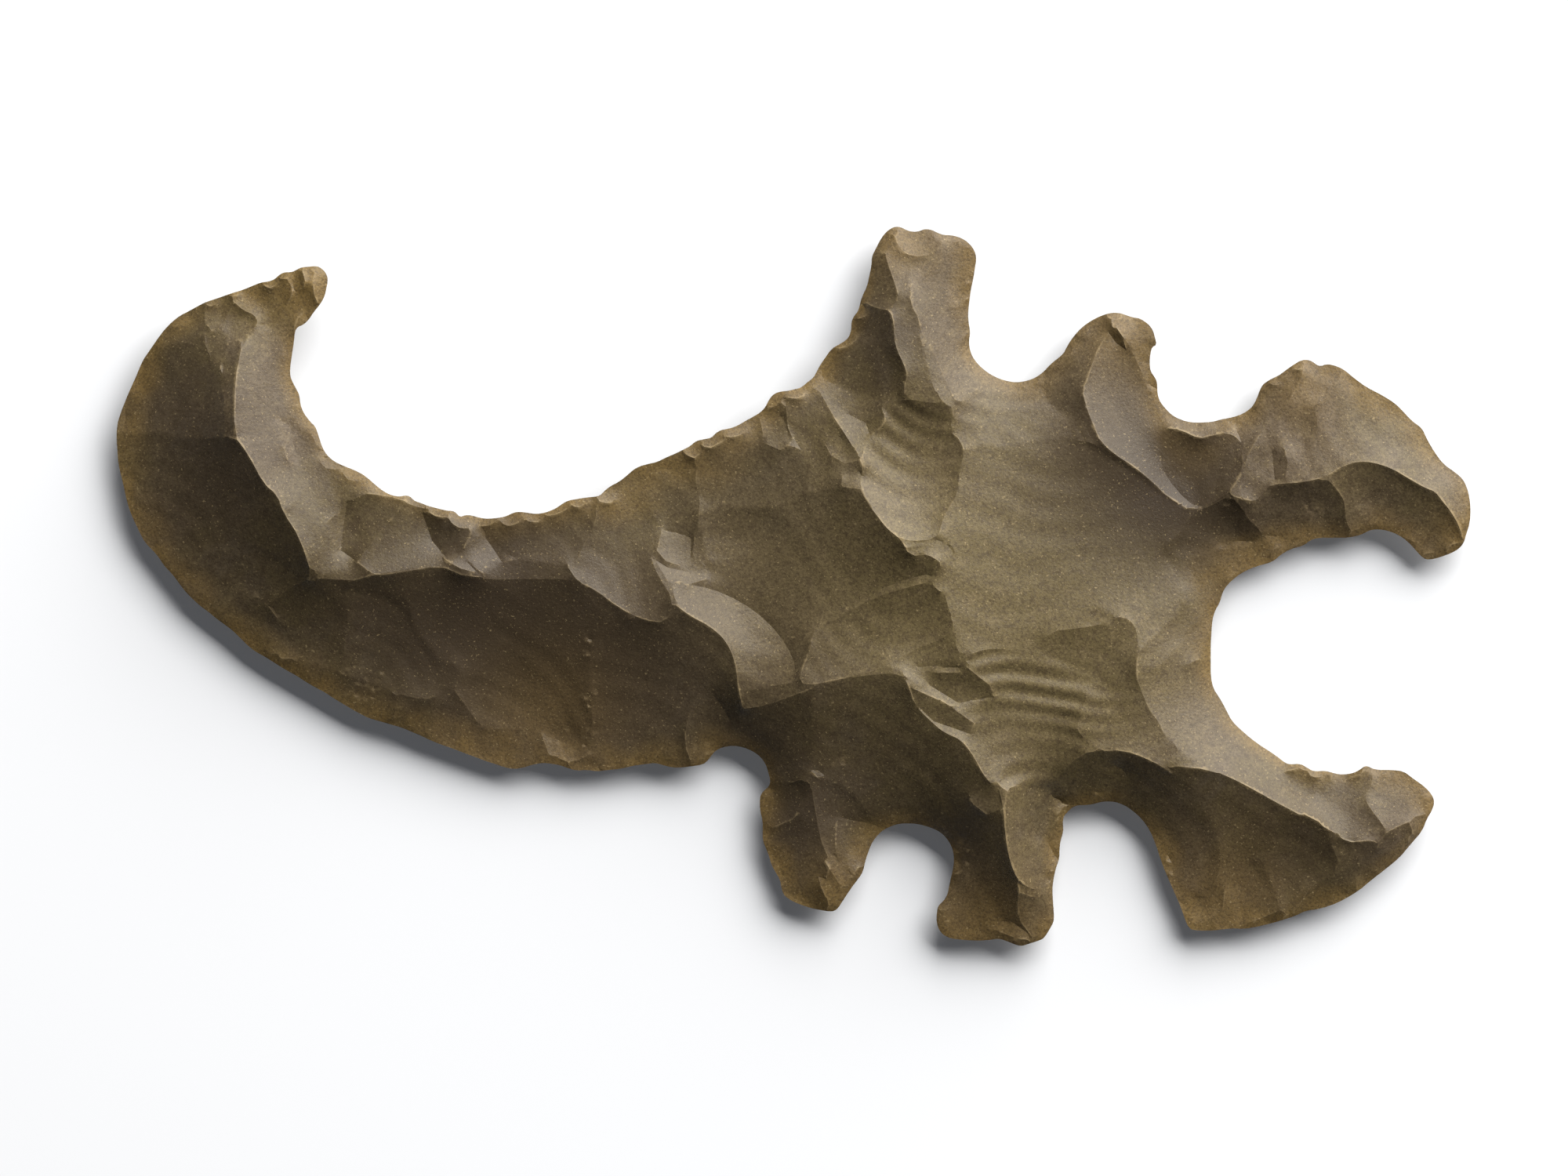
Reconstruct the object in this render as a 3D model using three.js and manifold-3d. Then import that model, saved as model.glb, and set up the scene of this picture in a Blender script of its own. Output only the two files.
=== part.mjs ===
// An eccentric flint: a blade of brown chert, chipped into a curved tail, a broad body, two prongs, two legs
// and an open pair of jaws. It is one piece of stone, and every hollow on it is the scar of one flake. The
// front's scars are given by their outline, the way they face and how steep they are. The slopes are summed
// to heights, so that neighbours meet in ridges as on the real stone. The back's scars are struck from the
// edge.
// Lengths are in millimetres. The origin is under the middle of the stone, on the plane that it lies on.
import * as THREE from "three";
import { mergeVertices } from "three/addons/utils/BufferGeometryUtils.js";
import Module from "manifold-3d";

// Driving sizes of the finished blade
const LENGTH = 240;
const WIDTH = 127.5;
const THICKNESS = 15;
const EDGE_LEVEL = 3.8;
const EDGE_BAND = 0.8;

// The net of facets that both faces are made of, and how far it goes on past the outline
const FACET = 2.6;
const NET_MARGIN = 4;
const NET_SHIFT_SHARE = 0.35;
const RIDGE_PULL_SHARE = 0.34;
const OVERRUN = 1;
const CURVE_STEPS = 2;

// The broad swell of the body under the scars
const DOME_LONG = 64;
const DOME_WIDE = 50;
const DOME_RISE = 2.4;
const DOME_SHARES = [.632, .486];

// Places where the inner edge of the tail and of the neck stands higher than the rest of the edge: shares of
// LENGTH and WIDTH, how far the swell spreads as a share of WIDTH, and its rise as a share of THICKNESS
const RAISED_SHARES = [
  [.146, .933, .110, .093], [.136, .802, .125, .070], [.152, .688, .125, .073],
  [.204, .617, .133, .087], [.273, .590, .141, .093], [.342, .612, .149, .093],
  [.406, .671, .157, .090], [.470, .726, .157, .080], [.527, .835, .110, .040],
];

// Scars of the back, one after another round the edge
const BACK_PITCH = 13.5;
const BACK_WIDTH = 16;
const BACK_REACH = 27;
const BACK_LEAD = 2;
const BACK_POWER_SHARE = 1.35;
const BACK_HOLLOW_SHARE = 0.13;
const RIM_SLOPE_SHARE = 0.75;
const BACK_REACH_SHARES = [1, 0.82, 0.94, 0.7, 0.88, 0.76, 0.97];
const BACK_TURN_SHARES = [-0.12, 0.08, 0.2, -0.05, 0.14, -0.2, 0.03, 0.1];

// Long thinning scars of the back: where each was struck on the edge, where it ends, and its width
const BACK_THINNING_SHARES = [
  [.440, .700, .480, .470, .170], [.665, .785, .655, .570, .160], [.808, .730, .755, .560, .160],
  [.808, .400, .665, .425, .220], [.590, .170, .575, .370, .180], [.455, .280, .500, .420, .130],
  [.722, .200, .705, .365, .130], [.345, .615, .335, .430, .150], [.290, .250, .300, .420, .150],
  [.002, .700, .095, .680, .170], [.215, .300, .240, .440, .130],
];

// The outline as seen from the front, clockwise from the tip of the tail. Each point is a share of LENGTH
// from the left end and a share of WIDTH from the lower side. Stretches marked round are one smooth curve.
const OUTLINE_SHARES = [
  { name: "tail tip", round: false, at: [
    [.149, .943], [.156, .933], [.156, .915], [.152, .891], [.143, .871], [.134, .859]] },
  { name: "inner curve of the tail", round: false, at: [
    [.132, .840], [.129, .800], [.134, .773], [.137, .750], [.144, .727], [.150, .709], [.156, .681],
    [.169, .666], [.182, .655], [.198, .631], [.215, .626], [.220, .618], [.238, .607], [.250, .604],
    [.255, .595], [.264, .597], [.279, .593], [.293, .601], [.309, .600], [.326, .608], [.334, .618],
    [.358, .626], [.371, .644], [.382, .662], [.399, .671], [.419, .689], [.429, .702], [.440, .705],
    [.447, .716], [.458, .721], [.476, .741], [.482, .758], [.490, .769], [.505, .775], [.515, .789],
    [.521, .810], [.527, .828], [.539, .841]] },
  { name: "first prong", round: false, at: [
    [.543, .862], [.548, .881], [.551, .902], [.556, .930], [.558, .956], [.563, .978], [.570, .995],
    [.577, 1], [.585, .992], [.594, .992], [.599, .996], [.611, .987], [.621, .985], [.631, .973],
    [.635, .954], [.631, .913], [.629, .878], [.630, .835]] },
  { name: "notch between the prongs", round: true, at: [
    [.638, .804], [.650, .789], [.665, .782], [.678, .789], [.689, .807]] },
  { name: "second prong", round: false, at: [
    [.699, .823], [.705, .842], [.715, .863], [.728, .876], [.740, .879], [.755, .872], [.763, .861],
    [.768, .835], [.763, .823], [.763, .799], [.769, .777], [.770, .756]] },
  { name: "notch before the upper jaw", round: true, at: [
    [.780, .737], [.794, .727], [.810, .728], [.829, .737], [.839, .750]] },
  { name: "upper jaw", round: false, at: [
    [.844, .773], [.858, .792], [.875, .814], [.883, .813], [.888, .804], [.901, .805], [.914, .788],
    [.933, .766], [.944, .754], [.957, .729], [.964, .719], [.973, .686], [.989, .657], [.997, .639],
    [1, .610], [.997, .571], [.991, .551], [.973, .538], [.964, .540], [.957, .556], [.943, .575],
    [.928, .579], [.915, .568], [.887, .567], [.877, .556], [.860, .544], [.853, .532], [.831, .518]] },
  { name: "mouth", round: true, at: [
    [.820, .503], [.815, .478], [.809, .452], [.808, .394], [.810, .358], [.824, .312], [.842, .282],
    [.863, .255]] },
  { name: "lower jaw", round: false, at: [
    [.874, .254], [.884, .243], [.906, .238], [.922, .251], [.929, .245], [.951, .243], [.966, .222],
    [.973, .199], [.968, .177], [.964, .160], [.947, .123], [.928, .094], [.903, .061], [.890, .052],
    [.871, .042], [.846, .028], [.823, .025], [.794, .022], [.786, .054], [.772, .118], [.763, .160],
    [.757, .178]] },
  { name: "notch behind the lower jaw", round: true, at: [
    [.743, .197], [.726, .200], [.710, .196], [.700, .183]] },
  { name: "second leg", round: false, at: [
    [.699, .160], [.696, .127], [.691, .084], [.692, .038], [.685, .011], [.668, 0], [.652, .011],
    [.626, .009], [.611, .015], [.606, .040], [.611, .063], [.615, .084], [.618, .116]] },
  { name: "notch between the legs", round: true, at: [
    [.616, .140], [.607, .160], [.592, .170], [.577, .170], [.565, .160], [.556, .138]] },
  { name: "first leg", round: false, at: [
    [.551, .103], [.544, .084], [.536, .061], [.528, .048], [.512, .053], [.493, .071], [.490, .092],
    [.482, .125], [.477, .151], [.475, .199], [.478, .215], [.483, .230]] },
  { name: "small notch", round: true, at: [
    [.479, .252], [.470, .271], [.455, .279], [.442, .272], [.434, .254]] },
  { name: "underside of the tail", round: false, at: [
    [.418, .248], [.398, .255], [.371, .246], [.340, .244], [.321, .254], [.294, .246], [.273, .257],
    [.240, .280], [.211, .304], [.179, .323], [.154, .353], [.126, .383], [.097, .418], [.079, .447],
    [.057, .481], [.039, .521], [.027, .548], [.012, .593], [.005, .639], [.001, .688], [0, .713]] },
  { name: "back of the tail", round: false, at: [
    [.003, .740], [.014, .791], [.024, .825], [.036, .856], [.047, .875], [.066, .893], [.087, .906],
    [.107, .921], [.118, .925], [.124, .935], [.136, .941]] },
];

// Scars of the front, oldest first. Each has the way that it faces, in degrees anticlockwise from the jaws'
// side, its steepness, how hollow it is, and its outline in shares of LENGTH and WIDTH like the one above. A
// younger scar lies over the older ones, so an outline may run on under it or past the edge.
const SCAR_SHARES = [
  { name: "base", facing: 90, steepness: 0.02, hollow: 0, at: [
    [-.051, 1.096], [1.060, 1.096], [1.060, -.101], [-.051, -.101]] },
  { name: "base upper", facing: 250, steepness: 0.04, hollow: 0, at: [
    [.394, .704], [.516, .835], [.539, 1.041], [1.048, 1.041], [1.048, .486], [.817, .486], [.724, .443],
    [.435, .454]] },
  { name: "base lower", facing: 262, steepness: 0.12, hollow: 0, at: [
    [.423, .367], [.637, .378], [.782, .269], [.984, .138], [.984, -.058], [.423, -.058]] },
  { name: "back upper", facing: 205, steepness: 0.5, hollow: 0.08, at: [
    [-.005, .713], [.001, .748], [.013, .793], [.023, .827], [.034, .862], [.065, .900], [.090, .913],
    [.088, .845], [.082, .835], [.078, .804], [.082, .748], [.086, .708], [.068, .704], [.042, .707],
    [.033, .714], [.019, .711], [.006, .713]] },
  { name: "back lower", facing: 212, steepness: 0.46, hollow: 0.08, at: [
    [-.005, .713], [.006, .713], [.019, .711], [.033, .714], [.042, .707], [.068, .704], [.090, .707],
    [.099, .682], [.111, .641], [.121, .626], [.126, .601], [.137, .568], [.147, .510], [.134, .503],
    [.117, .478], [.105, .497], [.101, .548], [.088, .552], [.076, .552], [.066, .543], [.052, .528],
    [.036, .515], [.024, .545], [.009, .589], [.001, .639], [-.003, .688]] },
  { name: "back top", facing: 200, steepness: 0.44, hollow: 0.1, at: [
    [.066, .851], [.066, .878], [.062, .894], [.045, .878], [.033, .859], [.024, .829], [.039, .835],
    [.053, .838]] },
  { name: "fan low left", facing: 218, steepness: 0.34, hollow: 0.08, at: [
    [.033, .521], [.052, .528], [.066, .543], [.079, .552], [.102, .548], [.117, .535], [.137, .510],
    [.123, .495], [.117, .478], [.106, .484], [.098, .478], [.091, .459], [.083, .436], [.053, .478]] },
  { name: "below the step", facing: 228, steepness: 0.38, hollow: 0.08, at: [
    [.106, .486], [.114, .470], [.124, .443], [.113, .419], [.111, .397], [.102, .406], [.093, .419],
    [.082, .440], [.088, .459], [.098, .481]] },
  { name: "behind the step", facing: 232, steepness: 0.34, hollow: 0.1, at: [
    [.117, .478], [.128, .497], [.146, .511], [.172, .508], [.192, .506], [.172, .490], [.172, .454],
    [.169, .421], [.168, .378], [.157, .380], [.140, .388], [.131, .402], [.126, .430], [.118, .467],
    [.111, .476]] },
  { name: "low B", facing: 238, steepness: 0.46, hollow: 0.08, at: [
    [.169, .503], [.191, .516], [.215, .523], [.238, .530], [.261, .510], [.319, .511], [.340, .532],
    [.354, .497], [.372, .471], [.384, .459], [.360, .434], [.352, .416], [.348, .378], [.351, .329],
    [.354, .231], [.340, .236], [.321, .245], [.294, .236], [.273, .247], [.240, .271], [.211, .295],
    [.186, .310], [.204, .354], [.227, .342], [.241, .350], [.230, .399], [.216, .454], [.195, .490],
    [.172, .490]] },
  { name: "low A", facing: 228, steepness: 0.38, hollow: 0.1, at: [
    [.172, .490], [.192, .490], [.205, .476], [.216, .454], [.230, .399], [.241, .350], [.227, .342],
    [.204, .354], [.186, .367], [.168, .378], [.168, .394], [.172, .443]] },
  { name: "low C", facing: 236, steepness: 0.42, hollow: 0.1, at: [
    [.384, .459], [.397, .469], [.411, .478], [.423, .459], [.438, .445], [.449, .427], [.457, .399],
    [.459, .356], [.464, .331], [.464, .263], [.426, .242], [.404, .243], [.381, .242], [.354, .231],
    [.351, .329], [.348, .378], [.352, .416], [.363, .437]] },
  { name: "grey chip", facing: 262, steepness: 0.16, hollow: 0.12, at: [
    [.423, .329], [.435, .354], [.444, .345], [.453, .312], [.464, .277], [.442, .263], [.435, .247],
    [.426, .245], [.419, .285]] },
  { name: "lower rim", facing: 240, steepness: 0.34, hollow: 0.1, at: [
    [.108, .402], [.131, .398], [.163, .381], [.186, .366], [.205, .354], [.215, .329], [.192, .307],
    [.179, .314], [.154, .342], [.126, .372]] },
  { name: "inner strip", facing: 12, steepness: 0.2, hollow: 0.1, at: [
    [.095, .839], [.090, .791], [.089, .708], [.099, .682], [.111, .641], [.121, .626], [.126, .601],
    [.137, .568], [.147, .510], [.180, .530], [.169, .617], [.160, .661], [.160, .704], [.143, .748],
    [.133, .791], [.137, .845], [.117, .856], [.105, .851]] },
  { name: "dark strip", facing: 212, steepness: 0.4, hollow: 0.08, at: [
    [.082, .835], [.094, .843], [.093, .813], [.090, .791], [.089, .748], [.090, .707], [.082, .748],
    [.080, .791], [.081, .815]] },
  { name: "hollow 400", facing: 40, steepness: 0.16, hollow: 0.14, at: [
    [.118, .630], [.114, .661], [.123, .693], [.130, .704], [.137, .671], [.146, .650], [.134, .617],
    [.126, .601], [.121, .626]] },
  { name: "inner B", facing: 32, steepness: 0.1, hollow: 0.12, at: [
    [.130, .704], [.131, .737], [.137, .764], [.146, .737], [.153, .709], [.160, .677], [.164, .650],
    [.172, .617], [.169, .601], [.157, .587], [.149, .530], [.137, .568], [.126, .601], [.137, .617],
    [.146, .647], [.137, .671]] },
  { name: "inner E", facing: 215, steepness: 0.04, hollow: 0.2, at: [
    [.171, .626], [.191, .641], [.204, .630], [.219, .628], [.209, .613], [.189, .557], [.178, .535],
    [.169, .546], [.160, .563], [.158, .587], [.169, .606]] },
  { name: "inner F", facing: 240, steepness: 0.08, hollow: 0.2, at: [
    [.213, .619], [.216, .633], [.238, .617], [.230, .606], [.226, .587], [.228, .568], [.239, .546],
    [.261, .519], [.238, .528], [.215, .520], [.191, .514], [.179, .535], [.189, .557]] },
  { name: "inner G", facing: 240, steepness: 0.04, hollow: 0.18, at: [
    [.230, .608], [.238, .617], [.255, .604], [.267, .606], [.272, .573], [.261, .559], [.253, .545],
    [.261, .530], [.268, .517], [.250, .528], [.237, .547], [.228, .568], [.225, .587]] },
  { name: "inner H", facing: 240, steepness: 0.2, hollow: 0.18, at: [
    [.264, .601], [.279, .606], [.293, .609], [.326, .617], [.360, .633], [.355, .606], [.354, .584],
    [.345, .557], [.340, .528], [.313, .532], [.296, .538], [.287, .546], [.277, .563], [.272, .576]] },
  { name: "olive strip", facing: 210, steepness: 0.36, hollow: 0.05, at: [
    [.272, .517], [.290, .539], [.313, .533], [.341, .529], [.345, .510], [.337, .508], [.319, .510],
    [.290, .509], [.268, .510]] },
  { name: "inner I", facing: 225, steepness: 0.28, hollow: 0.2, at: [
    [.355, .617], [.371, .655], [.386, .674], [.401, .678], [.394, .655], [.393, .633], [.396, .595],
    [.403, .576], [.399, .557], [.393, .546], [.400, .514], [.412, .481], [.406, .448], [.389, .454],
    [.371, .470], [.354, .495], [.341, .506], [.332, .532], [.345, .557], [.354, .584]] },
  { name: "step scar", facing: 215, steepness: 0.18, hollow: 0.16, at: [
    [.401, .678], [.419, .697], [.431, .691], [.428, .661], [.428, .617], [.427, .568], [.425, .541],
    [.435, .530], [.437, .508], [.411, .506], [.406, .521], [.397, .535], [.399, .557], [.403, .576],
    [.401, .593], [.393, .633], [.394, .655]] },
  { name: "tip bowl", facing: 225, steepness: 0.3, hollow: 0.2, at: [
    [.086, .909], [.099, .924], [.118, .935], [.130, .922], [.131, .902], [.126, .884], [.117, .865],
    [.101, .867], [.095, .880], [.087, .891]] },
  { name: "inner tip", facing: 200, steepness: 0.12, hollow: 0.1, at: [
    [.131, .905], [.147, .919], [.151, .894], [.143, .862], [.137, .848], [.117, .851], [.110, .860],
    [.126, .884]] },
  { name: "bowl under prong", facing: 218, steepness: 0.36, hollow: 0.2, at: [
    [.501, .764], [.521, .810], [.527, .835], [.539, .851], [.548, .884], [.571, .881], [.574, .845],
    [.583, .791], [.581, .764], [.563, .751], [.568, .731], [.562, .715], [.552, .691], [.552, .661],
    [.545, .680], [.531, .726], [.516, .753]] },
  { name: "ellipse", facing: 222, steepness: 0.32, hollow: 0.12, at: [
    [.426, .677], [.429, .704], [.458, .731], [.473, .742], [.475, .704], [.493, .695], [.504, .691],
    [.510, .677], [.512, .650], [.510, .628], [.493, .617], [.478, .608], [.458, .610], [.444, .608],
    [.432, .619], [.429, .637], [.431, .652]] },
  { name: "facet 985", facing: 195, steepness: 0.34, hollow: 0.08, at: [
    [.471, .737], [.484, .764], [.495, .748], [.496, .720], [.500, .702], [.490, .702], [.478, .704]] },
  { name: "left of strip", facing: 218, steepness: 0.34, hollow: 0.12, at: [
    [.493, .769], [.516, .780], [.529, .737], [.539, .706], [.550, .671], [.551, .654], [.548, .637],
    [.511, .632], [.512, .656], [.510, .677], [.502, .697], [.496, .720]] },
  { name: "big left bowl", facing: 215, steepness: 0.24, hollow: 0.12, at: [
    [.438, .612], [.458, .609], [.478, .608], [.499, .617], [.511, .632], [.548, .637], [.559, .601],
    [.571, .576], [.580, .563], [.584, .543], [.597, .545], [.610, .530], [.600, .514], [.585, .506],
    [.562, .490], [.539, .467], [.519, .445], [.513, .430], [.510, .405], [.504, .375], [.493, .345],
    [.473, .329], [.464, .321], [.459, .356], [.457, .388], [.454, .410], [.448, .430], [.438, .445],
    [.423, .459], [.413, .478], [.411, .503], [.438, .510], [.435, .532], [.426, .539], [.432, .563],
    [.431, .590]] },
  { name: "sandy band", facing: 42, steepness: 0.16, hollow: 0.1, at: [
    [.411, .503], [.423, .495], [.438, .481], [.455, .459], [.473, .427], [.484, .388], [.499, .369],
    [.493, .345], [.473, .329], [.464, .321], [.459, .356], [.457, .388], [.454, .410], [.448, .430],
    [.438, .445], [.423, .459], [.413, .478]] },
  { name: "small patch", facing: 80, steepness: 0.1, hollow: 0.1, at: [
    [.467, .356], [.493, .365], [.505, .369], [.516, .360], [.510, .345], [.493, .343], [.478, .334],
    [.468, .325]] },
  { name: "lens", facing: 230, steepness: 0.02, hollow: 0.24, at: [
    [.504, .367], [.506, .388], [.512, .410], [.514, .430], [.539, .465], [.562, .486], [.585, .499],
    [.602, .499], [.608, .489], [.612, .467], [.619, .443], [.608, .427], [.591, .415], [.574, .396],
    [.562, .385], [.548, .378], [.527, .369], [.513, .363]] },
  { name: "rays", facing: 40, steepness: 0.24, hollow: 0.08, at: [
    [.578, .565], [.588, .563], [.608, .565], [.618, .546], [.615, .524], [.612, .497], [.600, .506],
    [.610, .530], [.600, .544], [.585, .541]] },
  { name: "rippled", facing: 50, steepness: 0.02, hollow: 0.34, at: [
    [.563, .751], [.569, .731], [.563, .717], [.556, .702], [.550, .684], [.552, .661], [.551, .628],
    [.558, .608], [.563, .591], [.570, .576], [.578, .566], [.588, .561], [.603, .566], [.608, .587],
    [.612, .604], [.619, .622], [.621, .639], [.622, .661], [.625, .682], [.623, .702], [.616, .715],
    [.618, .739], [.606, .755], [.580, .758]] },
  { name: "central", facing: 80, steepness: 0.02, hollow: 0.1, at: [
    [.625, .691], [.643, .697], [.678, .702], [.707, .702], [.724, .686], [.747, .661], [.773, .622],
    [.795, .604], [.785, .573], [.770, .552], [.782, .524], [.788, .503], [.787, .470], [.769, .440],
    [.754, .412], [.753, .367], [.721, .369], [.700, .395], [.666, .409], [.649, .415], [.629, .405],
    [.619, .410], [.619, .443], [.611, .481], [.611, .497], [.617, .530], [.619, .552], [.608, .565],
    [.612, .604], [.621, .628], [.622, .661], [.625, .677]] },
  { name: "streaky", facing: 250, steepness: 0.04, hollow: 0.06, at: [
    [.632, .845], [.660, .802], [.692, .835], [.695, .802], [.704, .771], [.714, .769], [.715, .748],
    [.721, .720], [.727, .693], [.713, .702], [.684, .703], [.643, .697], [.625, .692], [.621, .708],
    [.615, .720], [.618, .739], [.614, .753], [.621, .780]] },
  { name: "streak arc", facing: 60, steepness: 0.04, hollow: 0, at: [
    [.639, .717], [.652, .726], [.666, .717], [.689, .708], [.708, .704], [.689, .697], [.660, .697],
    [.644, .697]] },
  { name: "notch rim 1", facing: 75, steepness: 0.06, hollow: 0, at: [
    [.632, .835], [.637, .793], [.652, .778], [.672, .771], [.687, .775], [.692, .791], [.692, .824],
    [.660, .797]] },
  { name: "prong2 bowl", facing: 45, steepness: 0.12, hollow: 0.34, at: [
    [.735, .856], [.724, .829], [.718, .802], [.713, .773], [.715, .748], [.721, .720], [.725, .702],
    [.735, .684], [.750, .666], [.765, .644], [.776, .622], [.795, .604], [.806, .616], [.818, .626],
    [.827, .652], [.831, .677], [.824, .704], [.805, .706], [.794, .704], [.782, .720], [.772, .742],
    [.762, .769], [.758, .793], [.753, .813], [.744, .845]] },
  { name: "prong2 left", facing: 212, steepness: 0.2, hollow: 0.1, at: [
    [.684, .824], [.699, .835], [.715, .878], [.731, .884], [.735, .856], [.725, .831], [.719, .802],
    [.713, .771], [.702, .769], [.692, .774], [.685, .791]] },
  { name: "prong2 right", facing: 32, steepness: 0.62, hollow: 0.05, at: [
    [.733, .884], [.747, .889], [.770, .878], [.773, .835], [.766, .818], [.770, .791], [.773, .764],
    [.762, .769], [.758, .793], [.753, .813], [.745, .843], [.735, .856]] },
  { name: "notch rim 2", facing: 60, steepness: 0.5, hollow: 0.1, at: [
    [.762, .771], [.770, .769], [.782, .748], [.805, .734], [.834, .748], [.843, .737], [.830, .720],
    [.818, .713], [.805, .705], [.794, .703], [.782, .718], [.770, .740]] },
  { name: "prong1 low dark", facing: 218, steepness: 0.52, hollow: 0.12, at: [
    [.536, .845], [.539, .878], [.551, .894], [.562, .884], [.571, .881], [.574, .862], [.574, .843],
    [.576, .825], [.581, .807], [.584, .791], [.581, .762], [.568, .754], [.545, .769], [.527, .780],
    [.519, .793], [.527, .829]] },
  { name: "prong1 up dark", facing: 212, steepness: 0.42, hollow: 0.08, at: [
    [.545, .884], [.549, .922], [.553, .971], [.567, .967], [.571, .938], [.575, .916], [.577, .899],
    [.571, .881], [.562, .884], [.551, .894]] },
  { name: "prong1 mid low", facing: 240, steepness: 0.06, hollow: 0.08, at: [
    [.578, .900], [.571, .881], [.574, .862], [.574, .843], [.576, .825], [.581, .807], [.584, .791],
    [.581, .761], [.597, .754], [.608, .753], [.603, .773], [.599, .797], [.597, .824], [.593, .843],
    [.591, .867], [.586, .891], [.584, .916]] },
  { name: "prong1 mid up", facing: 75, steepness: 0.02, hollow: 0.06, at: [
    [.574, .982], [.567, .963], [.571, .938], [.575, .916], [.578, .900], [.583, .913], [.595, .925],
    [.600, .938], [.608, .965], [.594, .955], [.581, .961]] },
  { name: "prong1 right", facing: 35, steepness: 0.3, hollow: 0.14, at: [
    [.608, .968], [.600, .938], [.595, .925], [.585, .921], [.587, .891], [.592, .867], [.595, .845],
    [.603, .822], [.610, .791], [.621, .748], [.632, .769], [.644, .780], [.637, .835], [.634, .878],
    [.643, .954], [.632, .992], [.611, .992]] },
  { name: "prong1 bowl", facing: 90, steepness: 0.24, hollow: 0.22, at: [
    [.574, 1.003], [.575, .982], [.585, .959], [.594, .956], [.603, .963], [.612, .998], [.597, 1.009]] },
  { name: "jaw face", facing: 50, steepness: 0.38, hollow: 0.09, at: [
    [.876, .818], [.909, .824], [.955, .769], [.984, .682], [1.008, .639], [1.008, .563], [.994, .560],
    [.991, .582], [.984, .604], [.979, .617], [.973, .631], [.955, .646], [.941, .663], [.927, .671],
    [.915, .672], [.903, .665], [.892, .651], [.874, .643], [.851, .641], [.846, .628], [.840, .617],
    [.828, .621], [.824, .641], [.832, .663], [.835, .682], [.841, .704], [.851, .728], [.865, .756],
    [.873, .780]] },
  { name: "jaw left", facing: 222, steepness: 0.4, hollow: 0.08, at: [
    [.830, .704], [.825, .720], [.834, .742], [.840, .764], [.847, .791], [.863, .807], [.877, .818],
    [.877, .802], [.873, .780], [.865, .756], [.859, .741], [.851, .728], [.844, .715], [.840, .701],
    [.835, .680]] },
  { name: "jaw top facet", facing: 70, steepness: 0.42, hollow: 0.08, at: [
    [.877, .815], [.905, .811], [.905, .793], [.898, .771], [.891, .756], [.881, .748], [.869, .756],
    [.874, .782]] },
  { name: "jaw under", facing: 240, steepness: 0.35, hollow: 0.18, at: [
    [.840, .617], [.847, .630], [.869, .641], [.892, .650], [.899, .637], [.905, .622], [.907, .606],
    [.907, .590], [.912, .576], [.918, .563], [.898, .557], [.887, .560], [.879, .552], [.863, .552],
    [.858, .567], [.847, .569], [.840, .579], [.831, .593], [.830, .608]] },
  { name: "jaw low bowl", facing: 240, steepness: 0.22, hollow: 0.22, at: [
    [.892, .651], [.903, .665], [.915, .672], [.927, .671], [.941, .663], [.955, .646], [.966, .635],
    [.979, .617], [.984, .604], [.991, .582], [.995, .557], [.984, .535], [.967, .524], [.953, .552],
    [.943, .568], [.925, .571], [.917, .563], [.911, .580], [.907, .600], [.906, .617], [.901, .633]] },
  { name: "triangle", facing: 240, steepness: 0.27, hollow: 0.2, at: [
    [.794, .601], [.808, .612], [.821, .626], [.831, .608], [.835, .593], [.843, .579], [.834, .567],
    [.817, .555], [.802, .548], [.797, .530], [.788, .539], [.772, .552], [.785, .571]] },
  { name: "mouth corner", facing: 150, steepness: 0.12, hollow: 0.16, at: [
    [.799, .499], [.804, .520], [.811, .540], [.820, .551], [.841, .558], [.858, .569], [.869, .560],
    [.874, .546], [.854, .524], [.831, .508], [.822, .492], [.812, .506]] },
  { name: "mouth facet a", facing: 45, steepness: 0.24, hollow: 0.1, at: [
    [.788, .502], [.796, .506], [.808, .509], [.825, .503], [.822, .476], [.814, .448], [.795, .444],
    [.789, .467], [.787, .484]] },
  { name: "dark block", facing: 240, steepness: 0.1, hollow: 0.12, at: [
    [.684, .436], [.724, .445], [.743, .458], [.751, .447], [.754, .427], [.753, .367], [.741, .354],
    [.721, .369], [.713, .382], [.698, .396], [.684, .405]] },
  { name: "mouth rim", facing: 38, steepness: 0.26, hollow: 0.14, at: [
    [.754, .411], [.769, .439], [.780, .453], [.787, .470], [.795, .446], [.817, .443], [.820, .378],
    [.834, .334], [.863, .280], [.898, .269], [.979, .269], [.981, .193], [.955, .175], [.937, .160],
    [.931, .145], [.913, .145], [.905, .149], [.896, .160], [.886, .169], [.872, .181], [.863, .193],
    [.848, .208], [.834, .223], [.822, .234], [.808, .246], [.794, .259], [.783, .272], [.773, .293],
    [.769, .312], [.762, .326], [.758, .346], [.752, .367], [.752, .394]] },
  { name: "jaw edge bowl", facing: 230, steepness: 0.14, hollow: 0.18, at: [
    [.864, .263], [.863, .225], [.872, .214], [.883, .211], [.896, .230], [.898, .252], [.886, .258]] },
  { name: "jaw mid facet", facing: 215, steepness: 0.06, hollow: 0.12, at: [
    [.898, .245], [.912, .252], [.922, .260], [.928, .242], [.927, .225], [.922, .211], [.928, .185],
    [.938, .159], [.931, .144], [.915, .146], [.905, .151], [.892, .171], [.889, .203], [.896, .225]] },
  { name: "jaw tip face", facing: 50, steepness: 0.28, hollow: 0.08, at: [
    [.928, .243], [.935, .258], [.979, .236], [.981, .193], [.967, .180], [.955, .175], [.938, .159],
    [.931, .182], [.922, .206], [.927, .225]] },
  { name: "banded", facing: 80, steepness: 0.06, hollow: 0.08, at: [
    [.721, .369], [.741, .355], [.753, .369], [.758, .346], [.762, .325], [.769, .310], [.773, .293],
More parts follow.
